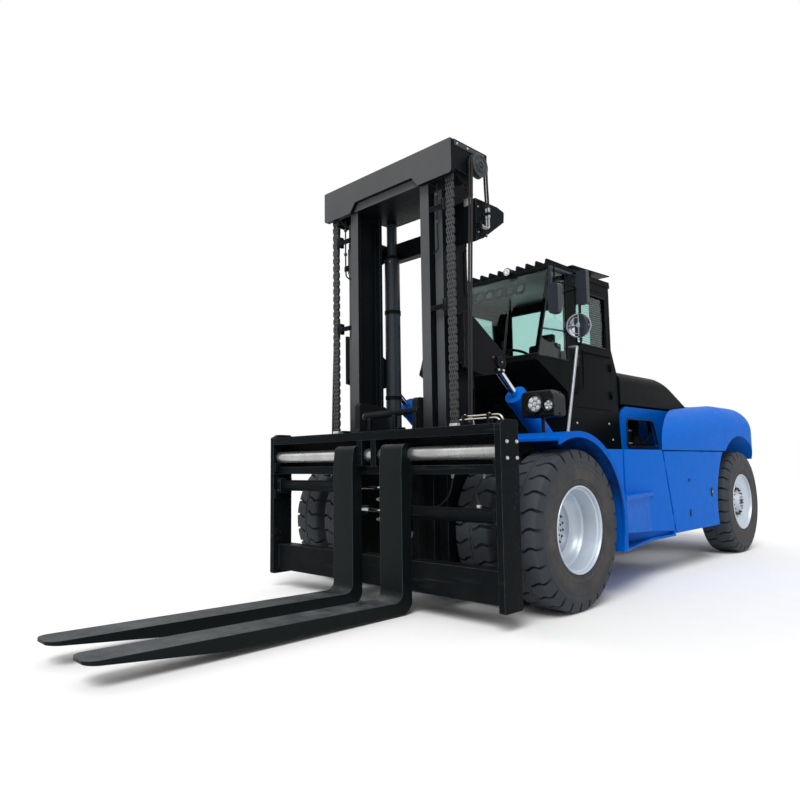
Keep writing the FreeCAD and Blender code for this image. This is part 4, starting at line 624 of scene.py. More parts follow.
def tyreSection():  # (x, radius, groove share) from the middle of the tread to the bead
    tread = [(0.004, 0.745, 0.0), (0.01, 0.745, 0.0), (0.024, 0.745, 0.0), (0.03, 0.745, 0.7), (0.05, 0.745, 0.9),
             (0.072, 0.7448, 1.0), (0.094, 0.7444, 1.0), (0.116, 0.744, 1.0), (0.138, 0.7432, 1.0),
             (0.156, 0.742, 1.0)]
    shoulder = [(0.17, 0.738, 1.0), (0.18, 0.731, 1.0), (0.187, 0.72, 0.95), (0.192, 0.705, 0.8),
                (0.197, 0.688, 0.6), (0.2015, 0.668, 0.35), (0.205, 0.652, 0.0)]
    wall = [(0.2085, 0.64, 0), (0.2125, 0.634, 0), (0.2125, 0.626, 0), (0.2105, 0.62, 0), (0.2115, 0.6, 0),
            (0.2115, 0.585, 0), (0.2135, 0.581, 0), (0.2135, 0.575, 0), (0.211, 0.571, 0), (0.2105, 0.54, 0),
            (0.2095, 0.505, 0), (0.207, 0.48, 0), (0.209, 0.474, 0), (0.2085, 0.466, 0), (0.204, 0.46, 0),
            (0.199, 0.44, 0), (0.1975, 0.428, 0), (0.199, 0.422, 0), (0.196, 0.412, 0), (0.183, 0.404, 0),
            (0.178, 0.394, 0)]
    return tread + shoulder + wall


def grooveShift(x):  # how far round, in metres, a groove has wandered at x
    way, x = (1 if x >= 0 else -1), abs(x)
    points = [(0.0, 0.0), (0.03, 0.006), (0.066, 0.01), (0.1, 0.04), (0.135, 0.046), (0.175, 0.036), (0.3, 0.03)]
    for (a, p), (b, q) in zip(points, points[1:]):
        if x <= b:
            return way * (p + (q - p) * (x - a) / (b - a))
    return way * points[-1][1]


def addTyre(shape, middle, way):
    half = tyreSection()
    section = [(-x, radius, share, -1) for x, radius, share in reversed(half)]
    section += [(x, radius, share, 1) for x, radius, share in half]
    pitch = 2 * math.pi / tyre["lugs"]
    marks = [0.0, 0.022, 0.085, 0.148, 0.17, 0.28, 0.39, 0.5, 0.522, 0.585, 0.648, 0.67, 0.78, 0.89]
    cuts = {1: {1, 2, 3}, -1: {8, 9, 10}}
    rows = []
    for lug in range(tyre["lugs"]):
        for index, mark in enumerate(marks):
            weave = 1 - 4 * abs((mark * 2) % 1 - 0.5)
            row = []
            for x, radius, share, hand in section:
                angle = (lug + mark) * pitch + grooveShift(x) / tyre["outer"]
                depth = tyre["groove"] * share if index in cuts[hand] else 0.0
                if abs(x) < 0.008:
                    depth = 0.01
                if abs(x) < 0.05:
                    x += 0.011 * weave * (1 - abs(x) / 0.05)
                reach = radius - depth
                sink = depth * 0.6 if abs(x) > 0.165 else 0.0
                x -= sink * (1 if x > 0 else -1)
                row.append(shape.verts.new((middle + x * way, reach * math.sin(angle), reach * math.cos(angle))))
            rows.append(row)
    joinRings(shape, rows, closed=True)


def makeTyres(name, middles, centre, way, body, *nodesReplaced):
    shape = bmesh.new()
    for middle in middles:
        addTyre(shape, middle, way)
    bmesh.ops.translate(shape, vec=centre, verts=shape.verts)
    piece = placePiece(name, shape, "tyreRubber", body, centre, smooth=28)
    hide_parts(*nodesReplaced)


def wheelCentre(node):
    low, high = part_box(node)
    return (low + high) / 2


for side, way in sides.items():
    makeTyres("front_tyres_" + side + "_tread", (-0.255, 0.255), wheelCentre("front_tyres_" + side), way,
              "front_wheels_" + side, "front_tyres_" + side)
    makeTyres("rear_tyre_" + side + "_tread", (0.0,), wheelCentre("rear_tyre_" + side), way,
              "rear_wheel_" + side, "rear_tyre_" + side)
print("tyres made")

# Wheel nuts and hub bolts

wheelFit = dict(front=dict(face=1.34, ring=0.205, nuts=20, hub=1.416, hubRadius=0.108, y=0.0),
                rear=dict(face=1.353, ring=0.19, nuts=16, hub=1.421, hubRadius=0.098, y=wheelbase))


def makeWheelFittings(place, side, way, body):
    fit = wheelFit[place]
    face, hub, y = fit["face"] - 0.001, fit["hub"] - 0.002, fit["y"]
    nut = [(0, 0.021), (0.004, 0.021), (0.004, 0.0165), (0.022, 0.0165), (0.026, 0.013), (0.026, 0.008),
           (0.036, 0.008), (0.038, 0.006)]
    cap = [(0, 0.046), (0.006, 0.046), (0.01, 0.04), (0.012, 0.018), (0.022, 0.016), (0.024, 0.01)]
    makePiece("wheelNuts" + place.capitalize() + side.capitalize(), "barrelGrey", body, [
        *(lathe(nut, (face, y + out, wheelRadius + up), turns=12)
          for up, out in around(fit["nuts"], fit["ring"], 0.5)),
        *(bolt((hub, y + out, wheelRadius + up), 0.01, 0.009) for up, out in around(10, fit["hubRadius"] * 0.78)),
        lathe(cap, (hub, y, wheelRadius))], way)


for side, way in sides.items():
    makeWheelFittings("front", side, way, "front_wheels_" + side)
    makeWheelFittings("rear", side, way, "rear_wheel_" + side)
print("wheel fittings made")

# Leaf chains

chain = dict(pitch=0.0445, x=0.854, y=-0.787, low=1.7, high=4.27, sheaveY=-0.64, reach=0.147, plate=0.0112,
             deep=0.018, nose=0.0135, rear=3.985)


def addLink(shape, start, end, x, count, first):  # one row of plates that reach from pin to pin
    start, end = Vector(start), Vector(end)
    ahead = (end - start).normalized()
    side = Vector((1, 0, 0))
    out = ahead.cross(side)
    outline = []
    for centre, turn in ((end, 0), (start, math.pi)):
        for step in range(5):
            angle = turn + math.pi / 2 - math.pi * step / 4
            outline.append(centre + ahead * (math.cos(angle) * chain["nose"]) +
                           out * (math.sin(angle) * chain["deep"]))
    for number in range(count):
        place = x + (first + number * 2) * (chain["plate"] + 0.0008)
        addSlab(shape, [point + side * (place - chain["plate"] / 2) for point in outline], side * chain["plate"])


def makeChain(name, line, x):
    shape = bmesh.new()
    for number, (start, end) in enumerate(zip(line, line[1:])):
        count, first = (4, -3) if number % 2 == 0 else (3, -2)
        addLink(shape, start, end, x, count, first)
        addLathe(shape, [(0, 0.0085), (0.0865, 0.0085)], Vector((x - 0.0433, start.y, start.z)), (1, 0, 0), 8)
    piece = placePiece(name, shape, "chainSteel", smooth=25)
    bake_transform(piece)
    return piece


def chainStations():  # pins up the front, over the sheave and down behind
    front, wrap, back = [], [], []
    z = chain["low"] + 0.02
    while z < chain["high"]:
        front.append(at(0, chain["y"], z))
        z += chain["pitch"]
    angle = (z - chain["high"]) / chain["reach"]
    while angle < math.pi:
        wrap.append(at(0, chain["sheaveY"] - chain["reach"] * math.cos(angle),
                       chain["high"] + chain["reach"] * math.sin(angle)))
        angle += chain["pitch"] / chain["reach"]
    z = chain["high"] - (angle - math.pi) * chain["reach"]
    while z > chain["rear"]:
        back.append(at(0, chain["sheaveY"] + chain["reach"], z))
        z -= chain["pitch"]
    return front, wrap, back


for side, way in sides.items():
    name, x = side.capitalize(), chain["x"] * way
    front, wrap, back = chainStations()
    piece = makeChain("liftChainFront" + name, front + wrap[:1], x)
    if side == "left":
        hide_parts("lift_chains")
    makeChain("liftChainRear" + name, wrap + back, x)
    makePiece("chainAnchorFront" + name, "zincSteel", "carriage", [
        box((x - 0.046, -0.815, 1.66), (x + 0.046, -0.76, 1.745), 0.006),
        rod((x, -0.787, 1.6), (x, -0.787, 1.68), 0.02),
        *(lathe([(0, 0.034), (0.02, 0.034), (0.023, 0.03)], (x, -0.787, z), (0, 0, 1), 6) for z in (1.612, 1.64)),
        box((x - 0.07, -0.84, 1.646), (x + 0.07, -0.745, 1.664))])
    makePiece("chainAnchorRear" + name, "zincSteel", "mast", [
        box((x - 0.045, -0.521, 3.93), (x + 0.045, -0.467, 4.01), 0.006),
        rod((x, -0.494, 3.8), (x, -0.494, 3.94), 0.02)])
print("chains made")

# Mast head, pulleys, pipes and ties


def makeMastFittings(name, way):
    # hose pulley on the head beam's end with its stepped boss, and the bolted plate above it
    makePiece("mastHeadPulley" + name, "barrelGrey", "inner_mast", [
        lathe([(-0.002, 0.085), (0.008, 0.085), (0.008, 0.116), (0.012, 0.12), (0.016, 0.118), (0.019, 0.104),
               (0.064, 0.104), (0.067, 0.118), (0.071, 0.12), (0.075, 0.116), (0.075, 0.094), (0.068, 0.09),
               (0.068, 0.068), (0.078, 0.064), (0.082, 0.058), (0.082, 0.034), (0.07, 0.03)],
              (0.953, -0.51, 4.295), turns=48),
        bolt((1.022, -0.51, 4.295), 0.02, 0.014),
        box((0.952, -0.83, 4.425), (0.96, -0.36, 4.47), 0.003)], way)
    makePiece("mastHeadBolts" + name, "zincSteel", "inner_mast",
              [bolt((0.96, y, 4.448), 0.01, 0.008) for y in (-0.79, -0.63, -0.41)], way)
    # fittings on the outer mast's tie
    makePiece("tieHoseBlock" + name, "carriageBlack", "mast", [
        box((0.95, -0.52, 3.62), (0.962, -0.34, 3.92)), box((0.96, -0.525, 3.66), (1.024, -0.5, 3.725)),
        box((0.96, -0.4, 3.83), (1.024, -0.352, 3.855))], way)
    fittings = []
    for x in (0.978, 1.008):
        fittings += [
            lathe([(0, 0.0155), (0.03, 0.0155), (0.032, 0.0125), (0.055, 0.0125), (0.057, 0.0145), (0.105, 0.0145)],
                  (x, -0.375, 3.795), (0, 0, 1), 12),
            pipe([*((x, -0.375, z) for z in (3.8, 3.74, 3.69)), (x, -0.43, 3.69), (x, -0.5, 3.69)], 0.01, 10),
            lathe([(0, 0.016), (0.026, 0.016), (0.028, 0.012)], (x, -0.497, 3.69), (0, 1, 0), 6)]
    fittings += [bolt((0.962, y, z), 0.009, 0.008) for y, z in ((-0.49, 3.64), (-0.36, 3.64), (-0.49, 3.9))]
    makePiece("tieFittings" + name, "brightSteel", "mast", fittings, way)
    makePiece("mastPipes" + name, "carriageBlack", "mast", [
        pipe([(0.7, -0.36, 3.54), (0.7, -0.4, 3.53), (0.703, -0.4, 3.45), (0.703, -0.4, 3.2), (0.703, -0.4, 3.08),
              (0.68, -0.36, 3.0), (0.675, -0.3, 2.9), (0.675, -0.26, 2.7), (0.675, -0.26, 1.3)], 0.01, 10)], way)
    # gland rings, bleed screws and clamps of the lift cylinders
    middle, up = (0.5, -0.24, 0), (0, 0, 1)
    rings = [lathe([(3.735, 0.088), (3.735, 0.094), (3.765, 0.096), (3.775, 0.09), (3.775, 0.064)], middle, up)]
    screws = []
    for low in (0.62, 2.1, 3.09):
        band = [(low, 0.089), (low + 0.003, 0.0945), (low + 0.045, 0.0945), (low + 0.048, 0.089)]
        rings += [lathe(band, middle, up), box((0.478, -0.16, low + 0.004), (0.522, -0.125, low + 0.044), 0.003)]
        screws.append(bolt((0.522, -0.142, low + 0.024), 0.01, 0.008))
    screws.append(bolt((0.455, -0.318, 3.7), 0.012, 0.014, (0, -1, 0)))
    rings.append(pipe([(0.41, -0.24, 0.42), (0.36, -0.24, 0.42), (0.33, -0.24, 0.46), (0.33, -0.24, 0.6),
                       (0.33, -0.14, 0.8), (0.33, -0.14, 1.0)], 0.013, 10))
    makePiece("liftGlands" + name, "mastBlack", "mast", rings, way)
    makePiece("liftScrews" + name, "brightSteel", "mast", screws, way)
    # chain hooks, guide brackets and thin pipe on the inner rail's outer side
    hooks = []
    for low in (2.86, 3.86):
        hooks += [box((0.585, -0.8, low), (0.8, -0.775, low + 0.05)),
                  box((0.755, -0.815, low - 0.03), (0.785, -0.755, low + 0.09)),
                  box((0.785, -0.812, low - 0.03), (0.815, -0.79, low + 0.09), 0.003)]
    hooks.append(pipe([(0.69, -0.79, 4.12), (0.69, -0.79, 3.8), (0.69, -0.79, 3.55), (0.69, -0.78, 3.46),
                       (0.62, -0.77, 3.44)], 0.008))
    makePiece("innerRailHooks" + name, "carriageBlack", "inner_mast", hooks, way)
    makePiece("innerRailClips" + name, "barrelGrey", "inner_mast",
              [box((0.676, -0.805, z), (0.704, -0.776, z + 0.03), 0.003) for z in (3.72, 4.0)], way)
    # tilt gusset's pin cap, grease point and keeper bolts
    makePiece("tiltPinCap" + name, "mastBlack", "mast", [
        lathe([(-0.004, 0.062), (0.01, 0.062), (0.014, 0.058), (0.014, 0.03), (0.008, 0.026)],
              (0.886, -0.08, 2.39), turns=28),
        box((0.885, -0.15, 2.29), (0.897, -0.02, 2.325), 0.003)], way)
    makePiece("tiltPinBolts" + name, "zincSteel", "mast", [
        bolt((0.897, -0.125, 2.308), 0.012, 0.01), bolt((0.897, -0.045, 2.308), 0.012, 0.01),
        rod((0.898, -0.08, 2.39), (0.915, -0.08, 2.39), 0.006, 10)], way)
    makePiece("tiltCap" + name, "redCap", "mast",
              [lathe([(0, 0.01), (0.006, 0.01), (0.01, 0.006)], (0.886, -0.205, 2.43), turns=14)], way)


for side, way in sides.items():
    makeMastFittings(side.capitalize(), way)
makePiece("mastWelds", "mastBlack", "mast", both(
    *(tube([(0.6, -0.362, z), (0.7, -0.362, z)], 0.006, 6) for z in (3.6, 3.93)),
    tube([(0.702, -0.36, 3.58), (0.702, -0.36, 3.95)], 0.006, 6),
    tube([(0.702, -0.3, 2.12), (0.702, -0.3, 2.66)], 0.006, 6)))  # beads along the ties and rails
print("mast fittings made")

# Carriage: bolts, caps, pipes, positioner hoses and fittings


def makeCarriageFittings():
    stops = [box((1.545 * way, -1.136, z), (1.569 * way, -1.05, z + 0.1)) for way in (1, -1) for z in (1.0, 1.3)]
    stops += [box((x - 0.02, -1.1, 1.7), (x + 0.02, -1.0, 1.722)) for x in (-0.4, 0.4)]  # beside the fork hooks
    makePiece("sidePlateStops", "carriageBlack", "carriage", stops)
    makePiece("sidePlateBolts", "zincSteel", "carriage",
              both(*(bolt((1.629, y, z), 0.0145, 0.013) for y in (-1.055, -0.915) for z in (1.545, 1.408))))
    makePiece("lockBar", "carriageBlack", "carriage", [  # lies over the fork hooks
        tube([(-0.1, -1.03, 1.85), (0.25, -1.03, 1.862), (0.62, -1.03, 1.875)], 0.03, 16),
        *(box((x - 0.018, -1.05, 1.69), (x + 0.018, -1.01, 1.85)) for x in (-0.05, 0.3, 0.58))])
    makePiece("lockBarCap", "barrelGrey", "carriage", [
        lathe([(0, 0.034), (0.014, 0.034), (0.018, 0.028), (0.018, 0.012)], (-0.118, -1.03, 1.85), (-1, 0, 0.03), 20)])
    # pipes along the top beam to the near side plate
    makePiece("carriagePipes", "paleBrass", "carriage", [
        pipe([(x, -0.7, 1.7), (x, -0.7, z), (x + 0.022, -0.78, z), (1.06, y, z), (1.15, y, z), (1.42, y, z),
              (1.5, y, z), (1.53, y, z - 0.05), (1.53, y + 0.02, 1.69)], 0.009, 10)
        for x, y, z in ((0.978, -0.99, 1.755), (1.008, -0.955, 1.785))])
    clipPlaces = (1.13, 1.4)
    makePiece("pipeClips", "carriageBlack", "carriage",
              [box((x - 0.012, -1.005, 1.694), (x + 0.012, -0.94, 1.796), 0.003) for x in clipPlaces])
    bright = [bolt((x, -0.972, 1.796), 0.008, 0.007, (0, 0, 1)) for x in clipPlaces]
    tubes = []
    for way, z in ((1, 0.92), (-1, 1.145)):  # end caps, ports and clamps of the fork positioners' cylinders
        tubes += [lathe([(0, 0.0625), (0.003, 0.0705), (0.037, 0.0705), (0.04, 0.0625)], (x * way, -1.0, z),
                        (way, 0, 0), 28) for x in (0.4, 1.5)]
        tubes.append(box((1.535 * way - 0.034, -1.095, z - 0.085), (1.535 * way + 0.034, -0.93, z + 0.085), 0.008))
        tubes += [bolt((1.535 * way, -1.095, z + rise), 0.01, 0.009, (0, -1, 0)) for rise in (-0.055, 0.055)]
        bright.append(lathe([(0, 0.014), (0.022, 0.014), (0.024, 0.01), (0.045, 0.01)],
                            (0.42 * way, -1.062, z + 0.01), (0, -1, 0), 6))
    bright.append(box((1.236, -0.975, 0.972), (1.268, -0.943, 1.008)))
    bright += [lathe([(0, 0.024), (0.02, 0.024), (0.02, 0.016), (0.055, 0.014)], (-0.06, -0.88, z), (0, -1, 0), 6)
               for z in (1.02, 0.82)]
    makePiece("positionerRings", "carriageBlack", "carriage", tubes)
    makePiece("carriageFittings", "zincSteel", "carriage", bright)
    welds = [tube([(1.566, -1.138, z), (1.566, -0.8, z)], 0.008, 6) for z in (1.28, 1.69)]
    welds.append(tube([(1.566, -1.06, 0.22), (1.566, -1.06, 0.47)], 0.008, 6))
    makePiece("carriageWelds", "carriageBlack", "carriage", both(*welds))


makeCarriageFittings()
for side, x in (("right", -0.375), ("left", 0.302)):  # marks on the fork hooks
    makePiece("forkMark" + side.capitalize(), "redCap", "fork_%s_set" % side,
              [lathe([(0, 0.012), (0.005, 0.012), (0.009, 0.007)], (x, -1.145, 1.545), (0, -1, 0), 14)])

positionerHoses = {
    "Near": [(0.4, -0.928, 0.955), (0.5, -0.914, 0.955), (0.62, -0.905, 0.955), (0.73, -0.905, 0.97),
             (0.84, -0.905, 1.04), (0.905, -0.905, 1.15), (0.92, -0.905, 1.262)],
    "NearEnd": [(1.252, -0.955, 1.005), (1.22, -0.94, 1.05), (1.19, -0.918, 1.11), (1.205, -0.905, 1.18),
                (1.28, -0.905, 1.262)],
    "Far": [(-0.42, -0.928, 1.16), (-0.52, -0.914, 1.16), (-0.62, -0.905, 1.165), (-0.73, -0.905, 1.2),
            (-0.8, -0.905, 1.262)],
}
for name, guides in positionerHoses.items():
    makeHose("positionerHose" + name, [at(*point) for point in guides], 0.008, body="carriage")
    x, y, z = guides[-1]
    makePiece("hoseEnd" + name, "zincSteel", "carriage", [
        lathe([(0, 0.015), (0.03, 0.015), (0.032, 0.01), (0.045, 0.01)], (x, y, z + 0.018), (0, -0.25, -1), 6)])
print("carriage fittings made")

# Weld seams on the fork shanks

for side, low, high in (("Left", 0.253, 0.535), ("Right", -0.428, -0.146)):
    makePiece("forkWeld" + side, "forkSteel", "fork_%s_set" % side.lower(),
              [tube([(low, -1.1405, z), (high, -1.1405, z)], radius, 6)
               for z, radius in ((1.368, 0.006), (1.352, 0.003))])

# Head lamps on their pods


def makeLamps(name, way):
    rims, cells, bowls, glass = [], [], [], []
    ahead = (0, -1, 0)
    for x, z, size, ring in ((1.23, 1.942, 0.088, (0.58, 6)), (1.388, 1.921, 0.056, (0.56, 5))):
        middle, cell = (x, 0, z), size * 0.25
        rims.append(lathe([(-0.004, size + 0.012), (0.02, size + 0.012), (0.028, size + 0.006), (0.028, size),
                           (0.01, size - 0.004), (0.002, size - 0.01), (0.001, size * 0.2)], middle, ahead, 40))
        rims += [rod((x + across, -0.024, z + up), (x + across, -0.002, z + up), 0.004, 8)
                 for across, up in around(14, size + 0.012)]  # cooling fins
        bowls.append(lathe([(0.001, size - 0.01), (0.004, size - 0.011), (0.0045, size * 0.5)], middle, ahead, 40))
        glass.append(lathe([(0.014, size - 0.006), (0.02, size - 0.007), (0.025, size * 0.6), (0.027, size * 0.2)],
                           middle, ahead, 40))
        cells += [lathe([(0.005, cell * 0.9), (0.008, cell), (0.012, cell * 0.96), (0.015, cell * 0.6),
                         (0.016, cell * 0.15)], (x + across * way, 0, z + up), ahead, 18)
                  for share, count in ((0.0, 1), ring) for across, up in around(count, size * share, 0.25)]
    for title, material, parts in (("Rims", "trimPlastic", rims), ("Cells", "lampWhite", cells),
                                   ("Bowls", "lampBowl", bowls), ("Glass", "lampGlass", glass)):
        makePiece("lamp" + title + name, material, "chassis", parts, way)
    makePiece("lampBolts" + name, "trimPlastic", "chassis", [
        box((1.2, 0.215, 1.9), (1.26, 0.235, 1.96), 0.006),
        *(bolt((1.441, 0.11, z), 0.01, 0.008) for z in (1.84, 2.05))], way)


for side, way in sides.items():
    makeLamps(side.capitalize(), way)
print("lamps made")

# Rims with their rolled flanges, barrels and discs

rimShapes = dict(
    front=[(0.771, 0.372), (0.771, 0.4), (0.777, 0.406), (0.785, 0.406), (0.786, 0.391), (1.156, 0.391),
           (1.157, 0.406), (1.165, 0.406), (1.171, 0.4), (1.171, 0.372), (1.281, 0.372), (1.281, 0.4),
           (1.287, 0.406), (1.295, 0.406), (1.296, 0.391), (1.66, 0.391), (1.667, 0.406), (1.675, 0.4065),
           (1.681, 0.403), (1.683, 0.397), (1.68, 0.391), (1.672, 0.387), (1.66, 0.3845), (1.648, 0.383),
           (1.644, 0.378), (1.64, 0.3715), (1.6, 0.366), (1.53, 0.358), (1.505, 0.354), (1.5, 0.349),
           (1.47, 0.34), (1.44, 0.325), (1.428, 0.316), (1.416, 0.306), (1.41, 0.298), (1.406, 0.276),
           (1.4, 0.268), (1.376, 0.261), (1.348, 0.244), (1.34, 0.236), (1.34, 0.172), (1.346, 0.165),
           (1.388, 0.152), (1.396, 0.146), (1.41, 0.112), (1.416, 0.104), (1.416, 0.002), (1.27, 0.002),
           (1.27, 0.15), (1.2, 0.15), (1.2, 0.27), (1.19, 0.3), (1.16, 0.34), (0.83, 0.345),
           (0.8, 0.35)],
    rear=[(1.045, 0.372), (1.045, 0.4), (1.051, 0.406), (1.059, 0.406), (1.06, 0.391), (1.424, 0.391),
          (1.431, 0.406), (1.439, 0.4065), (1.445, 0.403), (1.447, 0.397), (1.444, 0.391), (1.436, 0.387),
          (1.424, 0.3845), (1.412, 0.383), (1.408, 0.376), (1.404, 0.366), (1.396, 0.345), (1.386, 0.318),
          (1.38, 0.3), (1.376, 0.288), (1.366, 0.268), (1.356, 0.252), (1.353, 0.244), (1.353, 0.14),
          (1.358, 0.134), (1.374, 0.128), (1.38, 0.122), (1.414, 0.104), (1.421, 0.094), (1.421, 0.002),
          (1.345, 0.002), (1.335, 0.1), (1.312, 0.12), (1.312, 0.262), (1.306, 0.3), (1.29, 0.345),
          (1.09, 0.35)])


def makeRim(place, side, way, body, node):
    face, y = wheelFit[place]["face"], wheelFit[place]["y"]
    shape = bmesh.new()
    joinRings(shape, [[shape.verts.new(at(way * along, y + out, wheelRadius + up)) for up, out in around(120, radius)]
                      for along, radius in rimShapes[place]], closed=True)
    piece = placePiece("%s_rim_%s_barrel" % (place, side), shape, "rimSilver", body, smooth=30)
    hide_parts(node)
    # painted shade: dark discs stand for small round drillings between the nuts and the barrel
    makePiece("%s_rim_%s_drillingShade" % (place, side), "bayDark", body,
              [lathe([(-0.002, 0.011), (0.0012, 0.011), (0.0016, 0.009)], (face, y + out, wheelRadius + up), turns=14)
               for up, out in around(10, 0.222 if place == "rear" else 0.185)], way)


for side, way in sides.items():
    makeRim("front", side, way, "front_wheels_" + side, "front_rims_" + side)
    makeRim("rear", side, way, "rear_wheel_" + side, "rear_rim_" + side)
print("rims made")

# Cab outside: seals, rails, bolts, wiper, lamps, mirrors


def rakeAt(z):  # where the windscreen's outer face stands at a height
    return 0.6 + (z - 2.5) * 0.35 / 1.1


def makeCabSeals():
    parts = both(tube([(0.881, rakeAt(z) + 0.018, z) for z in (2.55, 2.9, 3.25, 3.595)], 0.009),
                 tube([(0.881, 1.262, z) for z in (2.545, 2.9, 3.25, 3.575)], 0.008),
                 tube([(0.881, rakeAt(2.55) + 0.02, 2.548), (0.881, 1.262, 2.548)], 0.008),
                 tube([(0.881, rakeAt(3.57) + 0.02, 3.574), (0.881, 1.262, 3.574)], 0.008))
    parts += [tube([(x, rakeAt(z) + out, rise) for x in (-0.875, 0.875)], 0.01)
              for z, out, rise in ((2.56, 0.004, 2.562), (3.59, 0.008, 3.596))]
    corners = ((-0.61, 2.86), (0.61, 2.86), (0.61, 3.47), (-0.61, 3.47))
    parts.append(tube([(x, 2.306, z) for x, z in corners], 0.01, closed=True))
    makePiece("cabSeals", "trimPlastic", "chassis", parts)


def makeCabSide(side, way):
    name, door = side.capitalize(), "cab_door_" + side
    corners = ((1.482, 2.787), (2.198, 2.787), (2.198, 3.433), (1.482, 3.433))
    makePiece("doorWindowSeal" + name, "trimPlastic", door,
              [tube([(0.882, *corner) for corner in corners], 0.01, closed=True)], way)
    makePiece("doorBlind" + name, "blindGrey", door,  # fine slats of the window's blind
              [tube([(0.846, y, 2.81 + step * 0.028) for y in (1.49, 2.19)], 0.0035, 5) for step in range(22)], way)
    makePiece("doorRail" + name, "cabBlack", door, [
        pipe([(0.878, 2.262, 2.69), (0.908, 2.262, 2.69), (0.91, 2.2, 2.69), (0.91, 1.9, 2.69), (0.91, 1.62, 2.69),
              (0.91, 1.555, 2.69), (0.91, 1.553, 2.62), (0.91, 1.55, 2.45), (0.91, 1.548, 2.3), (0.908, 1.53, 2.24),
              (0.905, 1.44, 2.19), (0.9, 1.38, 2.165), (0.876, 1.37, 2.16)], 0.01, 10)], way)
    makePiece("doorLock" + name, "trimPlastic", door, [
        box((0.878, 1.4, 2.5), (0.888, 1.5, 2.66)), box((0.888, 1.42, 2.6), (0.912, 1.48, 2.625)),
        lathe([(0, 0.014), (0.006, 0.014), (0.008, 0.01)], (0.888, 1.45, 2.54), turns=18)], way)
    bolts = [bolt((0.88, y, z), 0.013, 0.01)
             for y, z in ((1.411, 1.823), (2.195, 1.837), (2.282, 1.638), (1.411, 1.6))]
    bolts += [bolt((0.909, 1.335, z), 0.009, 0.008) for z in (3.004, 2.967)]
    makePiece("cabBolts" + name, "zincSteel", "chassis", bolts, way)
    makePiece("quarterRail" + name, "zincSteel", "chassis",  # inside the front quarter window
              [tube([(0.845, 0.76, 2.872), (0.845, 1.0, 2.885), (0.845, 1.25, 2.9)], 0.011, 10)], way)
    makePiece("mirrorPole" + name, "cabBlack", "chassis", [
        pipe([(0.885, 1.29, 3.57), (0.95, 1.29, 3.575), *((1.045, 1.292, z) for z in (3.575, 3.5, 3.1, 2.8, 2.735)),
              (0.97, 1.292, 2.705), (0.885, 1.29, 2.7)], 0.0115, 10),
        *(box((1.025, 1.262, z - 0.02), (1.065, 1.312, z + 0.02)) for z in (3.3, 3.48, 2.93))], way)
    # round mirror: pale rim, cross stay and boss
    lean, up = math.radians(21), Vector((0, 0, 1))
    middle, face = onSide((1.05, 1.24, 2.93), way), Vector((math.sin(lean) * way, -math.cos(lean), 0))
    level = up.cross(face).normalized()
    ring = bmesh.new()
    for out, reach, count, radius, turns in ((0.012, 0.134, 48, 0.009, 8), (0.02, 0.098, 40, 0.0045, 6)):
        circle = [middle + face * out + level * c + up * s for c, s in around(count, reach)]
        addTube(ring, circle, radius, turns, closed=True)
    for across, out, radius in ((-level, 0.034, 0.006), (up, 0.036, 0.008)):
        addTube(ring, [middle + face * 0.024 + across * 0.126, middle + face * out,
                       middle + face * 0.024 - across * 0.126], radius, 8)
    addLathe(ring, [(0.018, 0.03), (0.036, 0.03), (0.042, 0.024), (0.042, 0.008)], middle, face, 24)
    placePiece("roundMirrorRim" + name, ring, "mirrorRim", "chassis")
    glass = bmesh.new()
    addLathe(glass, [(0.019, 0.128), (0.022, 0.126), (0.024, 0.08), (0.026, 0.004)], middle, -face, 40)
    addBox(glass, onSide((1.052, 1.2795, 3.185), way), onSide((1.168, 1.283, 3.545), way), 0.002)
    placePiece("mirrorGlasses" + name, glass, "mirrorGlass", "chassis")


def makeFrontMirror():  # on the left only
    loop = [pipe([(0.885, 1.26, z), (1.0, 1.24, z), (1.07, 1.2, z), (1.075, 0.9, z), (1.06, 0.8, z),
                  (1.035, 0.766, z)], 0.0075) for z in (3.36, 3.545)]
    loop.append(tube([(1.035, 0.766, 3.3), (1.035, 0.766, 3.56)], 0.009, 10))
    makePiece("mirrorLoop", "cabBlack", "chassis", loop)
    makePiece("frontMirrorGlass", "mirrorGlass", "chassis", [box((0.985, 0.8045, 3.02), (1.085, 0.808, 3.33), 0.003)])


makeCabSeals()
for side, way in sides.items():
    makeCabSide(side, way)
    if side == "left":
        makeFrontMirror()


def addPunched(shape, corner, across, up, size, holes, thick):  # a flat strip with round holes punched through
    width, height = size
    across, up = Vector(across), Vector(up)
    out = across.cross(up).normalized() * thick
    cell = width / holes
    ringSteps = 16
    for shift in (Vector(), out):
        for number in range(holes):
            middle = Vector(corner) + across * (cell * (number + 0.5)) + up * (height / 2) + shift
            ring, rim = [], []
            for c, s in around(ringSteps, 1, 0.5):
                ring.append(shape.verts.new(middle + (across * c + up * s) * height * 0.27))
                reach = 1 / max(abs(c), abs(s))
                rim.append(shape.verts.new(middle + across * (c * reach * cell / 2) + up * (s * reach * height / 2)))
            for step in range(ringSteps):
                after = (step + 1) % ringSteps
                shape.faces.new((ring[step], ring[after], rim[after], rim[step]))


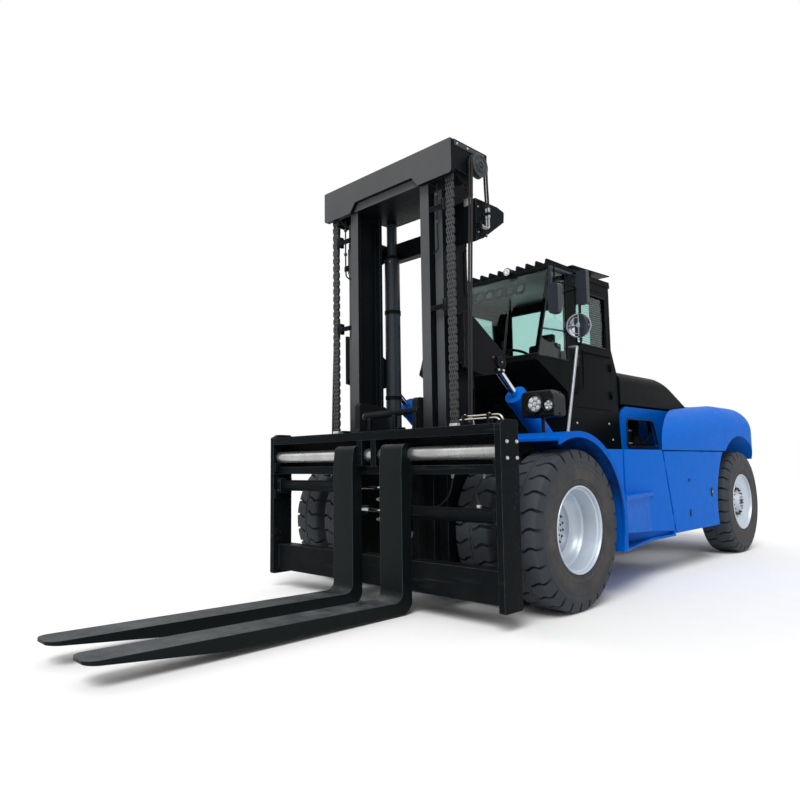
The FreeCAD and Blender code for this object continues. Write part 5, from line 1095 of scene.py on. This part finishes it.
def makeRoofFittings():
    x, y, z = lamp = (0.315, 0.905, 3.648)
    lean = (0, -1, 0.05)
    makePiece("roofLamp", "trimPlastic", "chassis", [
        lathe([(-0.045, 0.03), (-0.035, 0.048), (0.012, 0.054), (0.018, 0.05), (0.018, 0.046), (0.008, 0.044)],
              lamp, lean, 28),
        tube([(x, y + 0.01, z - 0.05), (x, y + 0.05, z - 0.06), (x, y + 0.09, z - 0.05)], 0.009)])
    makePiece("roofLampFace", "lampWhite", "chassis", [
        lathe([(0.01, 0.043), (0.016, 0.042), (0.02, 0.026), (0.022, 0.006)], lamp, lean, 24),
        *(lathe([(0.018, 0.01), (0.026, 0.009), (0.028, 0.004)], (x + across, y, z + rise), lean, 10)
          for across, rise in around(6, 0.026))])
    visor = bmesh.new()
    addPunched(visor, at(-0.7, 0.955, 3.36), (1, 0, 0), (0, 0.3, 0.954), (1.22, 0.17), 8, 0.004)
    placePiece("sunBand", visor, "bayDark", "chassis")
    blade = [(0.372 + 0.05 * t, rakeAt(3.3 - 0.62 * t) - 0.006, 3.3 - 0.62 * t) for t in (0, 0.33, 0.66, 1)]
    makePiece("windscreenWiper", "trimPlastic", "chassis", [
        pipe([(0.43, 0.64, 2.585), (0.428, 0.665, 2.72), (0.4, 0.775, 3.1), (0.373, 0.845, 3.31)], 0.007),
        pipe([(0.4, 0.64, 2.585), (0.395, 0.69, 2.75), (0.375, 0.775, 3.05)], 0.005), tube(blade, 0.009),
        box((0.37, 0.585, 2.545), (0.46, 0.635, 2.6), 0.008),
        *(tube([(0.398, rakeAt(z) - 0.012, z - 0.05), (0.4, rakeAt(z) - 0.03, z), (0.39, rakeAt(z) - 0.012, z + 0.05)],
               0.004, 6) for z in (2.72, 3.0))])
    makePiece("guardFeet", "trimPlastic", "chassis",  # rubber strips under the guard bars
              both(tube([(0.8, 0.96, 3.662), (0.8, 1.5, 3.67)], 0.01)))
    makePiece("roofLining", "liningGrey", "chassis", [box((-0.82, 0.985, 3.578), (0.82, 2.26, 3.596))])
    makePiece("beaconBase", "trimPlastic", "chassis", [
        lathe([(-0.004, 0.075), (0.018, 0.075), (0.024, 0.07), (0.03, 0.06)], (-0.55, 2.25, 3.772), (0, 0, 1))])
    makePiece("visorBolts", "zincSteel", "chassis",
              both(*(bolt((0.7, y, 3.768), 0.012, 0.01, (0, 0, 1)) for y in (2.05, 2.3))))


makeRoofFittings()
print("cab outside made")

# Cab inside: seat, console, levers and pedals


def makePad(name, low, high, crown, lean=0.0, channels=2):  # a crowned pad with sewn channels
    low, high = Vector(low), Vector(high)
    shape = bmesh.new()
    bmesh.ops.create_cube(shape, size=1)
    bmesh.ops.subdivide_edges(shape, edges=shape.edges[:], cuts=11, use_grid_fill=True)
    size, middle = high - low, (low + high) / 2
    thin = min(range(3), key=lambda axis: size[axis])
    wide = [axis for axis in range(3) if axis != thin]
    for vert in shape.verts:
        u = vert.co * 2
        square = [u[axis] for axis in wide]
        edge = (1 - square[0] ** 4) * (1 - square[1] ** 4)
        pull = 1 - 0.05 * (1 - abs(u[thin])) - 0.03 * abs(square[0] * square[1])
        seam = 0.0
        for number in range(channels):
            line = -0.45 + 0.9 * number / max(1, channels - 1)
            seam += math.exp(-((square[0] - line) / 0.05) ** 2)
        swell = u[thin] * (0.62 + 0.38 * max(0.0, edge) ** 0.35) - u[thin] * 0.1 * min(1.0, seam) * max(0.0, edge)
        co = Vector((0, 0, 0))
        co[thin] = swell * size[thin] / 2 * (1 + crown)
        for axis, value in zip(wide, square):
            co[axis] = value * pull * size[axis] / 2
        vert.co = co
    bmesh.ops.smooth_vert(shape, verts=shape.verts, factor=0.5, use_axis_x=True, use_axis_y=True, use_axis_z=True)
    if lean:
        bmesh.ops.rotate(shape, cent=(0, 0, 0), matrix=Matrix.Rotation(lean, 3, "X"), verts=shape.verts)
    bmesh.ops.translate(shape, vec=middle, verts=shape.verts)
    piece = placePiece(name, shape, "seatCloth", "chassis", smooth=180)
    soften = piece.modifiers.new("soften", "SUBSURF")
    soften.levels = soften.render_levels = 1
    return piece


seatPad = makePad("seatCushion", at(-0.25, 1.72, 2.42), at(0.25, 2.17, 2.54), 0.1)
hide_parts("operator_seat")
makePad("seatBack", at(-0.235, 2.1, 2.52), at(0.235, 2.215, 2.97), 0.1, lean=-0.1)
makePad("seatHeadrest", at(-0.13, 2.17, 2.955), at(0.13, 2.25, 3.1), 0.08, lean=-0.1, channels=0)
for side, way in sides.items():
    makePad("armrest" + side.capitalize(), at(0.3 * way - 0.035, 1.8, 2.665), at(0.3 * way + 0.035, 2.12, 2.715), 0.05,
            channels=0)


def makeSeatFrame():
    folds = (2.06 + step * 0.044 for step in range(7))  # of the suspension's bellows
    makePiece("seatFrame", "trimPlastic", "chassis", [
        box((-0.2, 1.78, 2.01), (0.2, 2.14, 2.06), 0.008),
        *(box((-0.19, 1.79, z), (0.19, 2.13, z + 0.034), 0.012) for z in folds),
        box((-0.225, 1.75, 2.37), (0.225, 2.16, 2.43), 0.012),
        *both(pipe([(0.25, 2.16, 2.45), (0.3, 2.16, 2.5), (0.3, 2.14, 2.66), (0.3, 2.08, 2.675)], 0.014, 10),
              tube([(0.07, 2.2, 2.93), (0.07, 2.21, 2.99)], 0.008)),
        box((-0.21, 2.205, 2.55), (0.21, 2.228, 2.93), 0.01)])


def makeConsole():
    levers, knobs, pedals = [], [], []
    for x in (-0.555, -0.51, -0.465):
        levers.append(pipe([(x, 1.62, 2.6), (x, 1.62, 2.68), (x, 1.6, 2.76)], 0.007))
        knobs.append(lathe([(0, 0.01), (0.01, 0.017), (0.028, 0.019), (0.04, 0.013), (0.044, 0.004)],
                           (x, 1.6, 2.755), (0, -0.2, 1), 16))
    makePiece("sideConsole", "trimPlastic", "chassis", [
        box((-0.62, 1.1, 2.02), (-0.4, 2.1, 2.62), 0.02), box((-0.4, 1.7, 2.55), (-0.345, 2.05, 2.63), 0.01),
        box((0.42, 1.0, 2.5), (0.72, 1.16, 2.6), 0.02), box((-0.72, 0.8, 2.52), (0.72, 0.98, 2.58), 0.02), *levers,
        tube([(-0.6, 1.05, 2.58), (-0.6, 1.03, 2.78)], 0.01), box((-0.7, 1.0, 2.76), (-0.48, 1.035, 2.92), 0.01)])
    makePiece("consoleScreen", "bayDark", "chassis", [box((-0.685, 1.033, 2.78), (-0.495, 1.038, 2.905), 0.002)])
    makePiece("leverKnobs", "trimPlastic", "chassis", knobs)
    for x in (-0.16, 0.05, 0.19):
        pedals += [box((x - 0.045, 1.25, 2.08), (x + 0.045, 1.27, 2.22), 0.006),
                   tube([(x, 1.27, 2.15), (x, 1.32, 2.04)], 0.009)]
    makePiece("pedals", "castBlack", "chassis", pedals)


makeSeatFrame()
makeConsole()
print("cab inside made")

# Blue sides: bay window rim, canister, latches, step grating


def makeBay(name, way):
    corners = [Vector(corner) for corner in ((2.655, 1.555), (3.585, 1.555), (3.43, 1.915), (2.655, 1.915))]
    outline = []
    for index, here in enumerate(corners):  # rounded corners
        before, after = corners[index - 1], corners[(index + 1) % 4]
        inward, outward = (before - here).normalized() * 0.06, (after - here).normalized() * 0.06
        for share in (0, 0.25, 0.5, 0.75, 1):
            outline.append((0.893, *(here + inward * (1 - share) ** 2 + outward * share ** 2)))
    makePiece("bayWindowRim" + name, "rubberHose", "chassis", [tube(outline, 0.013, closed=True)], way)
    up = (0, 0, 1)
    bent = ([(0.66, 2.85, 1.78), (0.66, 2.78, 1.78), (0.68, 2.7, 1.82), (0.66, 2.66, 1.92), (0.6, 2.66, 2.04)],
            [(0.7, 3.27, 1.74), (0.7, 3.27, 1.84), (0.66, 3.3, 1.92), (0.58, 3.4, 1.98), (0.5, 3.5, 2.0)],
            [(0.76, 3.34, 1.6), (0.8, 3.4, 1.62), (0.82, 3.5, 1.72), (0.8, 3.55, 1.86), (0.74, 3.6, 2.0)])
    makePiece("airCanister" + name, "castBlack", "chassis", [
        lathe([(1.5, 0.125), (1.515, 0.132), (1.53, 0.132), (1.54, 0.126), (1.7, 0.126), (1.705, 0.133),
               (1.725, 0.133), (1.73, 0.126), (1.8, 0.125), (1.83, 0.112), (1.85, 0.08), (1.855, 0.045),
               (1.885, 0.043), (1.89, 0.03)],
              (0.66, 2.97, 0), up, 40),
        lathe([(1.5, 0.085), (1.515, 0.09), (1.69, 0.09), (1.71, 0.08), (1.72, 0.03), (1.75, 0.028)],
              (0.7, 3.27, 0), up),
        box((0.5, 2.56, 1.5), (0.84, 3.62, 1.505), 0.001), *(pipe(guides, 0.022, 12) for guides in bent)], way)
    clamps = []
    for z in (1.6, 1.77):
        clamps += [lathe([(z, 0.128), (z + 0.002, 0.1315), (z + 0.018, 0.1315), (z + 0.02, 0.128)],
                         (0.66 * way, 2.97, 0), up, 40),
                   box((0.785 * way - 0.012, 2.94, z), (0.785 * way + 0.016, 3.0, z + 0.02), 0.003)]
    clamps.append(rod((0.8 * way, 2.7, 1.52), (0.8 * way, 2.7, 1.6), 0.02, 12))
    makePiece("canisterClamps" + name, "zincSteel", "chassis", clamps)


def makeSideFittings(side, way):
    name, door = side.capitalize(), "side_door_" + side
    latches = [lathe([(0, 0.024), (0.003, 0.024), (0.0035, 0.021), (0.0015, 0.018), (0.0015, 0.004)],
                     (1.4535, 3.176, 1.117), turns=24)]
    for y, z, wide, tall in ((3.952, 0.934, 0.038, 0.056), (3.182, 0.696, 0.024, 0.042)):
        latches += [box((1.4495, y - wide, z - tall), (1.4575, y + wide, z + tall), 0.006),
                    box((1.4515, y - wide * 0.6, z - tall * 0.7), (1.4595, y + wide * 0.6, z + tall * 0.1))]
    makePiece("sideDoorLatches" + name, "trimPlastic", door, latches, way)
    makePiece("latchBolts" + name, "zincSteel", door, [box((1.4545, 3.944, 0.922), (1.4605, 3.96, 0.952), 0.002)], way)
    grate = bmesh.new()
    outline = [(1.415, 1.04), (1.655, 1.04), (1.445, 2.05), (1.415, 2.58)][::way]
    addSlab(grate, [at(x * way, y, 0.4745) for x, y in outline], (0, 0, 0.004))
    placePiece("stepGrating" + name, grate, "machineBlue", "chassis")
    # painted shade: dark discs on the grating stand for its holes
    holes = []
    y, row = 1.06, 0
    while y < 2.55:
        edge = 1.645 - (y - 1.04) * 0.205 if y < 2.05 else 1.44 - (y - 2.05) * 0.045
        x = 1.424 + 0.013 * (row % 2)
        while x < edge:
            holes.append(lathe([(0.4784, 0.0078), (0.4792, 0.0078)], (x, y, 0), (0, 0, 1), 8))
            x += 0.026
        y += 0.0225
        row += 1
    makePiece("stepHoleShade" + name, "bayDark", "chassis", holes, way)


for side, way in sides.items():
    makeBay(side.capitalize(), way)
    makeSideFittings(side, way)
print("side fittings made")

# Rear end, hood and axles


def makeRearFittings():
    back = 6.2
    eye = [(0.55 + 0.05 * math.cos(a), 5.55, 2.186 + 0.05 * math.sin(a))
           for a in (math.pi * n / 10 for n in range(11))]
    dark = both(box((0.82, back - 0.045, 1.15), (1.22, back - 0.002, 1.275), 0.012), tube(eye, 0.013, 10))
    dark += [tube([(x, back - 0.012, 1.62 + row * 0.042) for x in (-0.62, 0.62)], 0.01, 6) for row in range(11)]
    frameLine = [(x, back - 0.01, z) for x, z in ((-0.65, 1.59), (0.65, 1.59), (0.65, 2.07), (-0.65, 2.07))]
    dark.append(tube(frameLine, 0.014, closed=True))
    dark += [tube([(x, back - 0.02, 1.6), (x, back - 0.02, 2.06)], 0.008, 6) for x in (-0.32, 0.0, 0.32)]
    dark.append(lathe([(0.56, 0.022), (1.0, 0.022), (1.02, 0.024), (1.03, 0.024), (1.032, 0.01)], (0, 6.1, 0.0),
                      (0, 0, 1), 20))  # tow pin
    makePiece("rearLampCases", "trimPlastic", "chassis", dark)
    lens = [(0, 0.046), (0.004, 0.048), (0.008, 0.046), (0.01, 0.034), (0.011, 0.01)]
    for name, material, places in (("rearLampsRed", "redLens", (0.9, 1.14)), ("rearLampsAmber", "amberLens", (1.02,))):
        makePiece(name, material, "chassis",
                  both(*(lathe(lens, (x, back - 0.006, 1.2125), (0, 1, 0), 28) for x in places)))
    makePiece("rearLampScrews", "zincSteel", "chassis",
              both(*(bolt((x, back - 0.003, z), 0.007, 0.006, (0, 1, 0))
                     for x in (0.835, 1.205) for z in (1.165, 1.26))))


def makeHoodFittings():
    grip = pipe([(0.46, 2.7, 2.54), (0.46, 2.7, 2.585), (0.5, 2.7, 2.6), (0.6, 2.7, 2.6), (0.64, 2.7, 2.585),
                 (0.64, 2.7, 2.54)], 0.009, 10)
    intake = lathe([(2.535, 0.09), (2.56, 0.09), (2.565, 0.082), (2.66, 0.082), (2.67, 0.1), (2.7, 0.1),
                    (2.715, 0.06)], (0.0, 3.15, 0), (0, 0, 1))
    makePiece("hoodHandles", "cabBlack", "hood", both(grip) + [intake])


makeRearFittings()
makeHoodFittings()


def makeAxleFittings():  # bolts and brake lines on the drive axle, hoses on the steer axle
    bolts = [bolt((0.742, out, wheelRadius + up), 0.013, 0.01, (-1, 0, 0)) for up, out in around(14, 0.205)]
    bolts += [box((x - 0.014, 0.06, 0.87), (x + 0.014, 0.115, 0.915)) for x in (0.42, 0.6)]
    bolts.append(lathe([(0, 0.066), (0.004, 0.072), (0.04, 0.072), (0.044, 0.066)], (0.33, 5.345, 0.775), turns=28))
    makePiece("axleBolts", "castBlack", "chassis", both(*bolts))
    makePiece("brakeLines", "barrelGrey", "chassis", both(
        pipe([(0.05, 0.1, 0.99), (0.3, 0.1, 0.96), (0.45, 0.1, 0.91), (0.6, 0.08, 0.9), (0.7, 0.05, 0.97),
              (0.78, 0.02, 0.985)], 0.007),
        pipe([(0.3, 5.345, 0.83), (0.3, 5.36, 0.88), (0.22, 5.36, 0.95), (0.16, 5.34, 1.02), (0.16, 5.3, 1.1)],
             0.009)))


makeAxleFittings()
print("rear, hood and axle fittings made")

# Floor, lights and world

studio = dict(ambient=0.62, key=2.3, keySize=0.55, fill=0.5)


def makeFloor():
    shape = bmesh.new()
    bmesh.ops.create_grid(shape, x_segments=4, y_segments=4, size=40)
    mesh = bpy.data.meshes.new("floor")
    shape.to_mesh(mesh)
    shape.free()
    floor = bpy.data.objects.new("floor", mesh)
    bpy.context.scene.collection.objects.link(floor)
    material, hand, surface = newMaterial("floorWhite")
    grain = hand.noise(hand.place(), 3.0, 3.0)
    hand.feed(hand.mix(grain, (0.86, 0.86, 0.86, 1), (0.9, 0.9, 0.9, 1)), surface.inputs["Base Color"])
    surface.inputs["Roughness"].default_value = 0.9
    mesh.materials.append(material)


def makeLamp(name, energy, angle, direction):
    data = bpy.data.lights.new(name, "SUN")
    data.energy, data.angle = energy, angle
    lamp = bpy.data.objects.new(name, data)
    bpy.context.scene.collection.objects.link(lamp)
    lamp.matrix_world = Vector((0, 0, -1)).rotation_difference(Vector(direction)).to_matrix().to_4x4()


def makeWorld():
    world = bpy.data.worlds.new("studio")
    bpy.context.scene.world = world
    world.use_nodes = True
    tree = world.node_tree
    hand = Shades(tree)
    path = hand.add("ShaderNodeLightPath").outputs
    seen = hand.math("MAXIMUM", hand.math("MAXIMUM", path["Is Camera Ray"], path["Is Glossy Ray"]),
                     path["Is Transmission Ray"])
    strength = hand.math("MAXIMUM", seen, studio["ambient"])
    back = tree.nodes["Background"]
    back.inputs["Color"].default_value = (1, 1, 1, 1)
    hand.feed(strength, back.inputs["Strength"])


makeFloor()
makeWorld()
makeLamp("keyLight", studio["key"], studio["keySize"], (-0.35, 0.62, -0.85))
makeLamp("fillLight", studio["fill"], 0.9, (0.75, 0.15, -0.55))
bpy.context.scene.view_settings.view_transform = "Standard"
print("studio made")
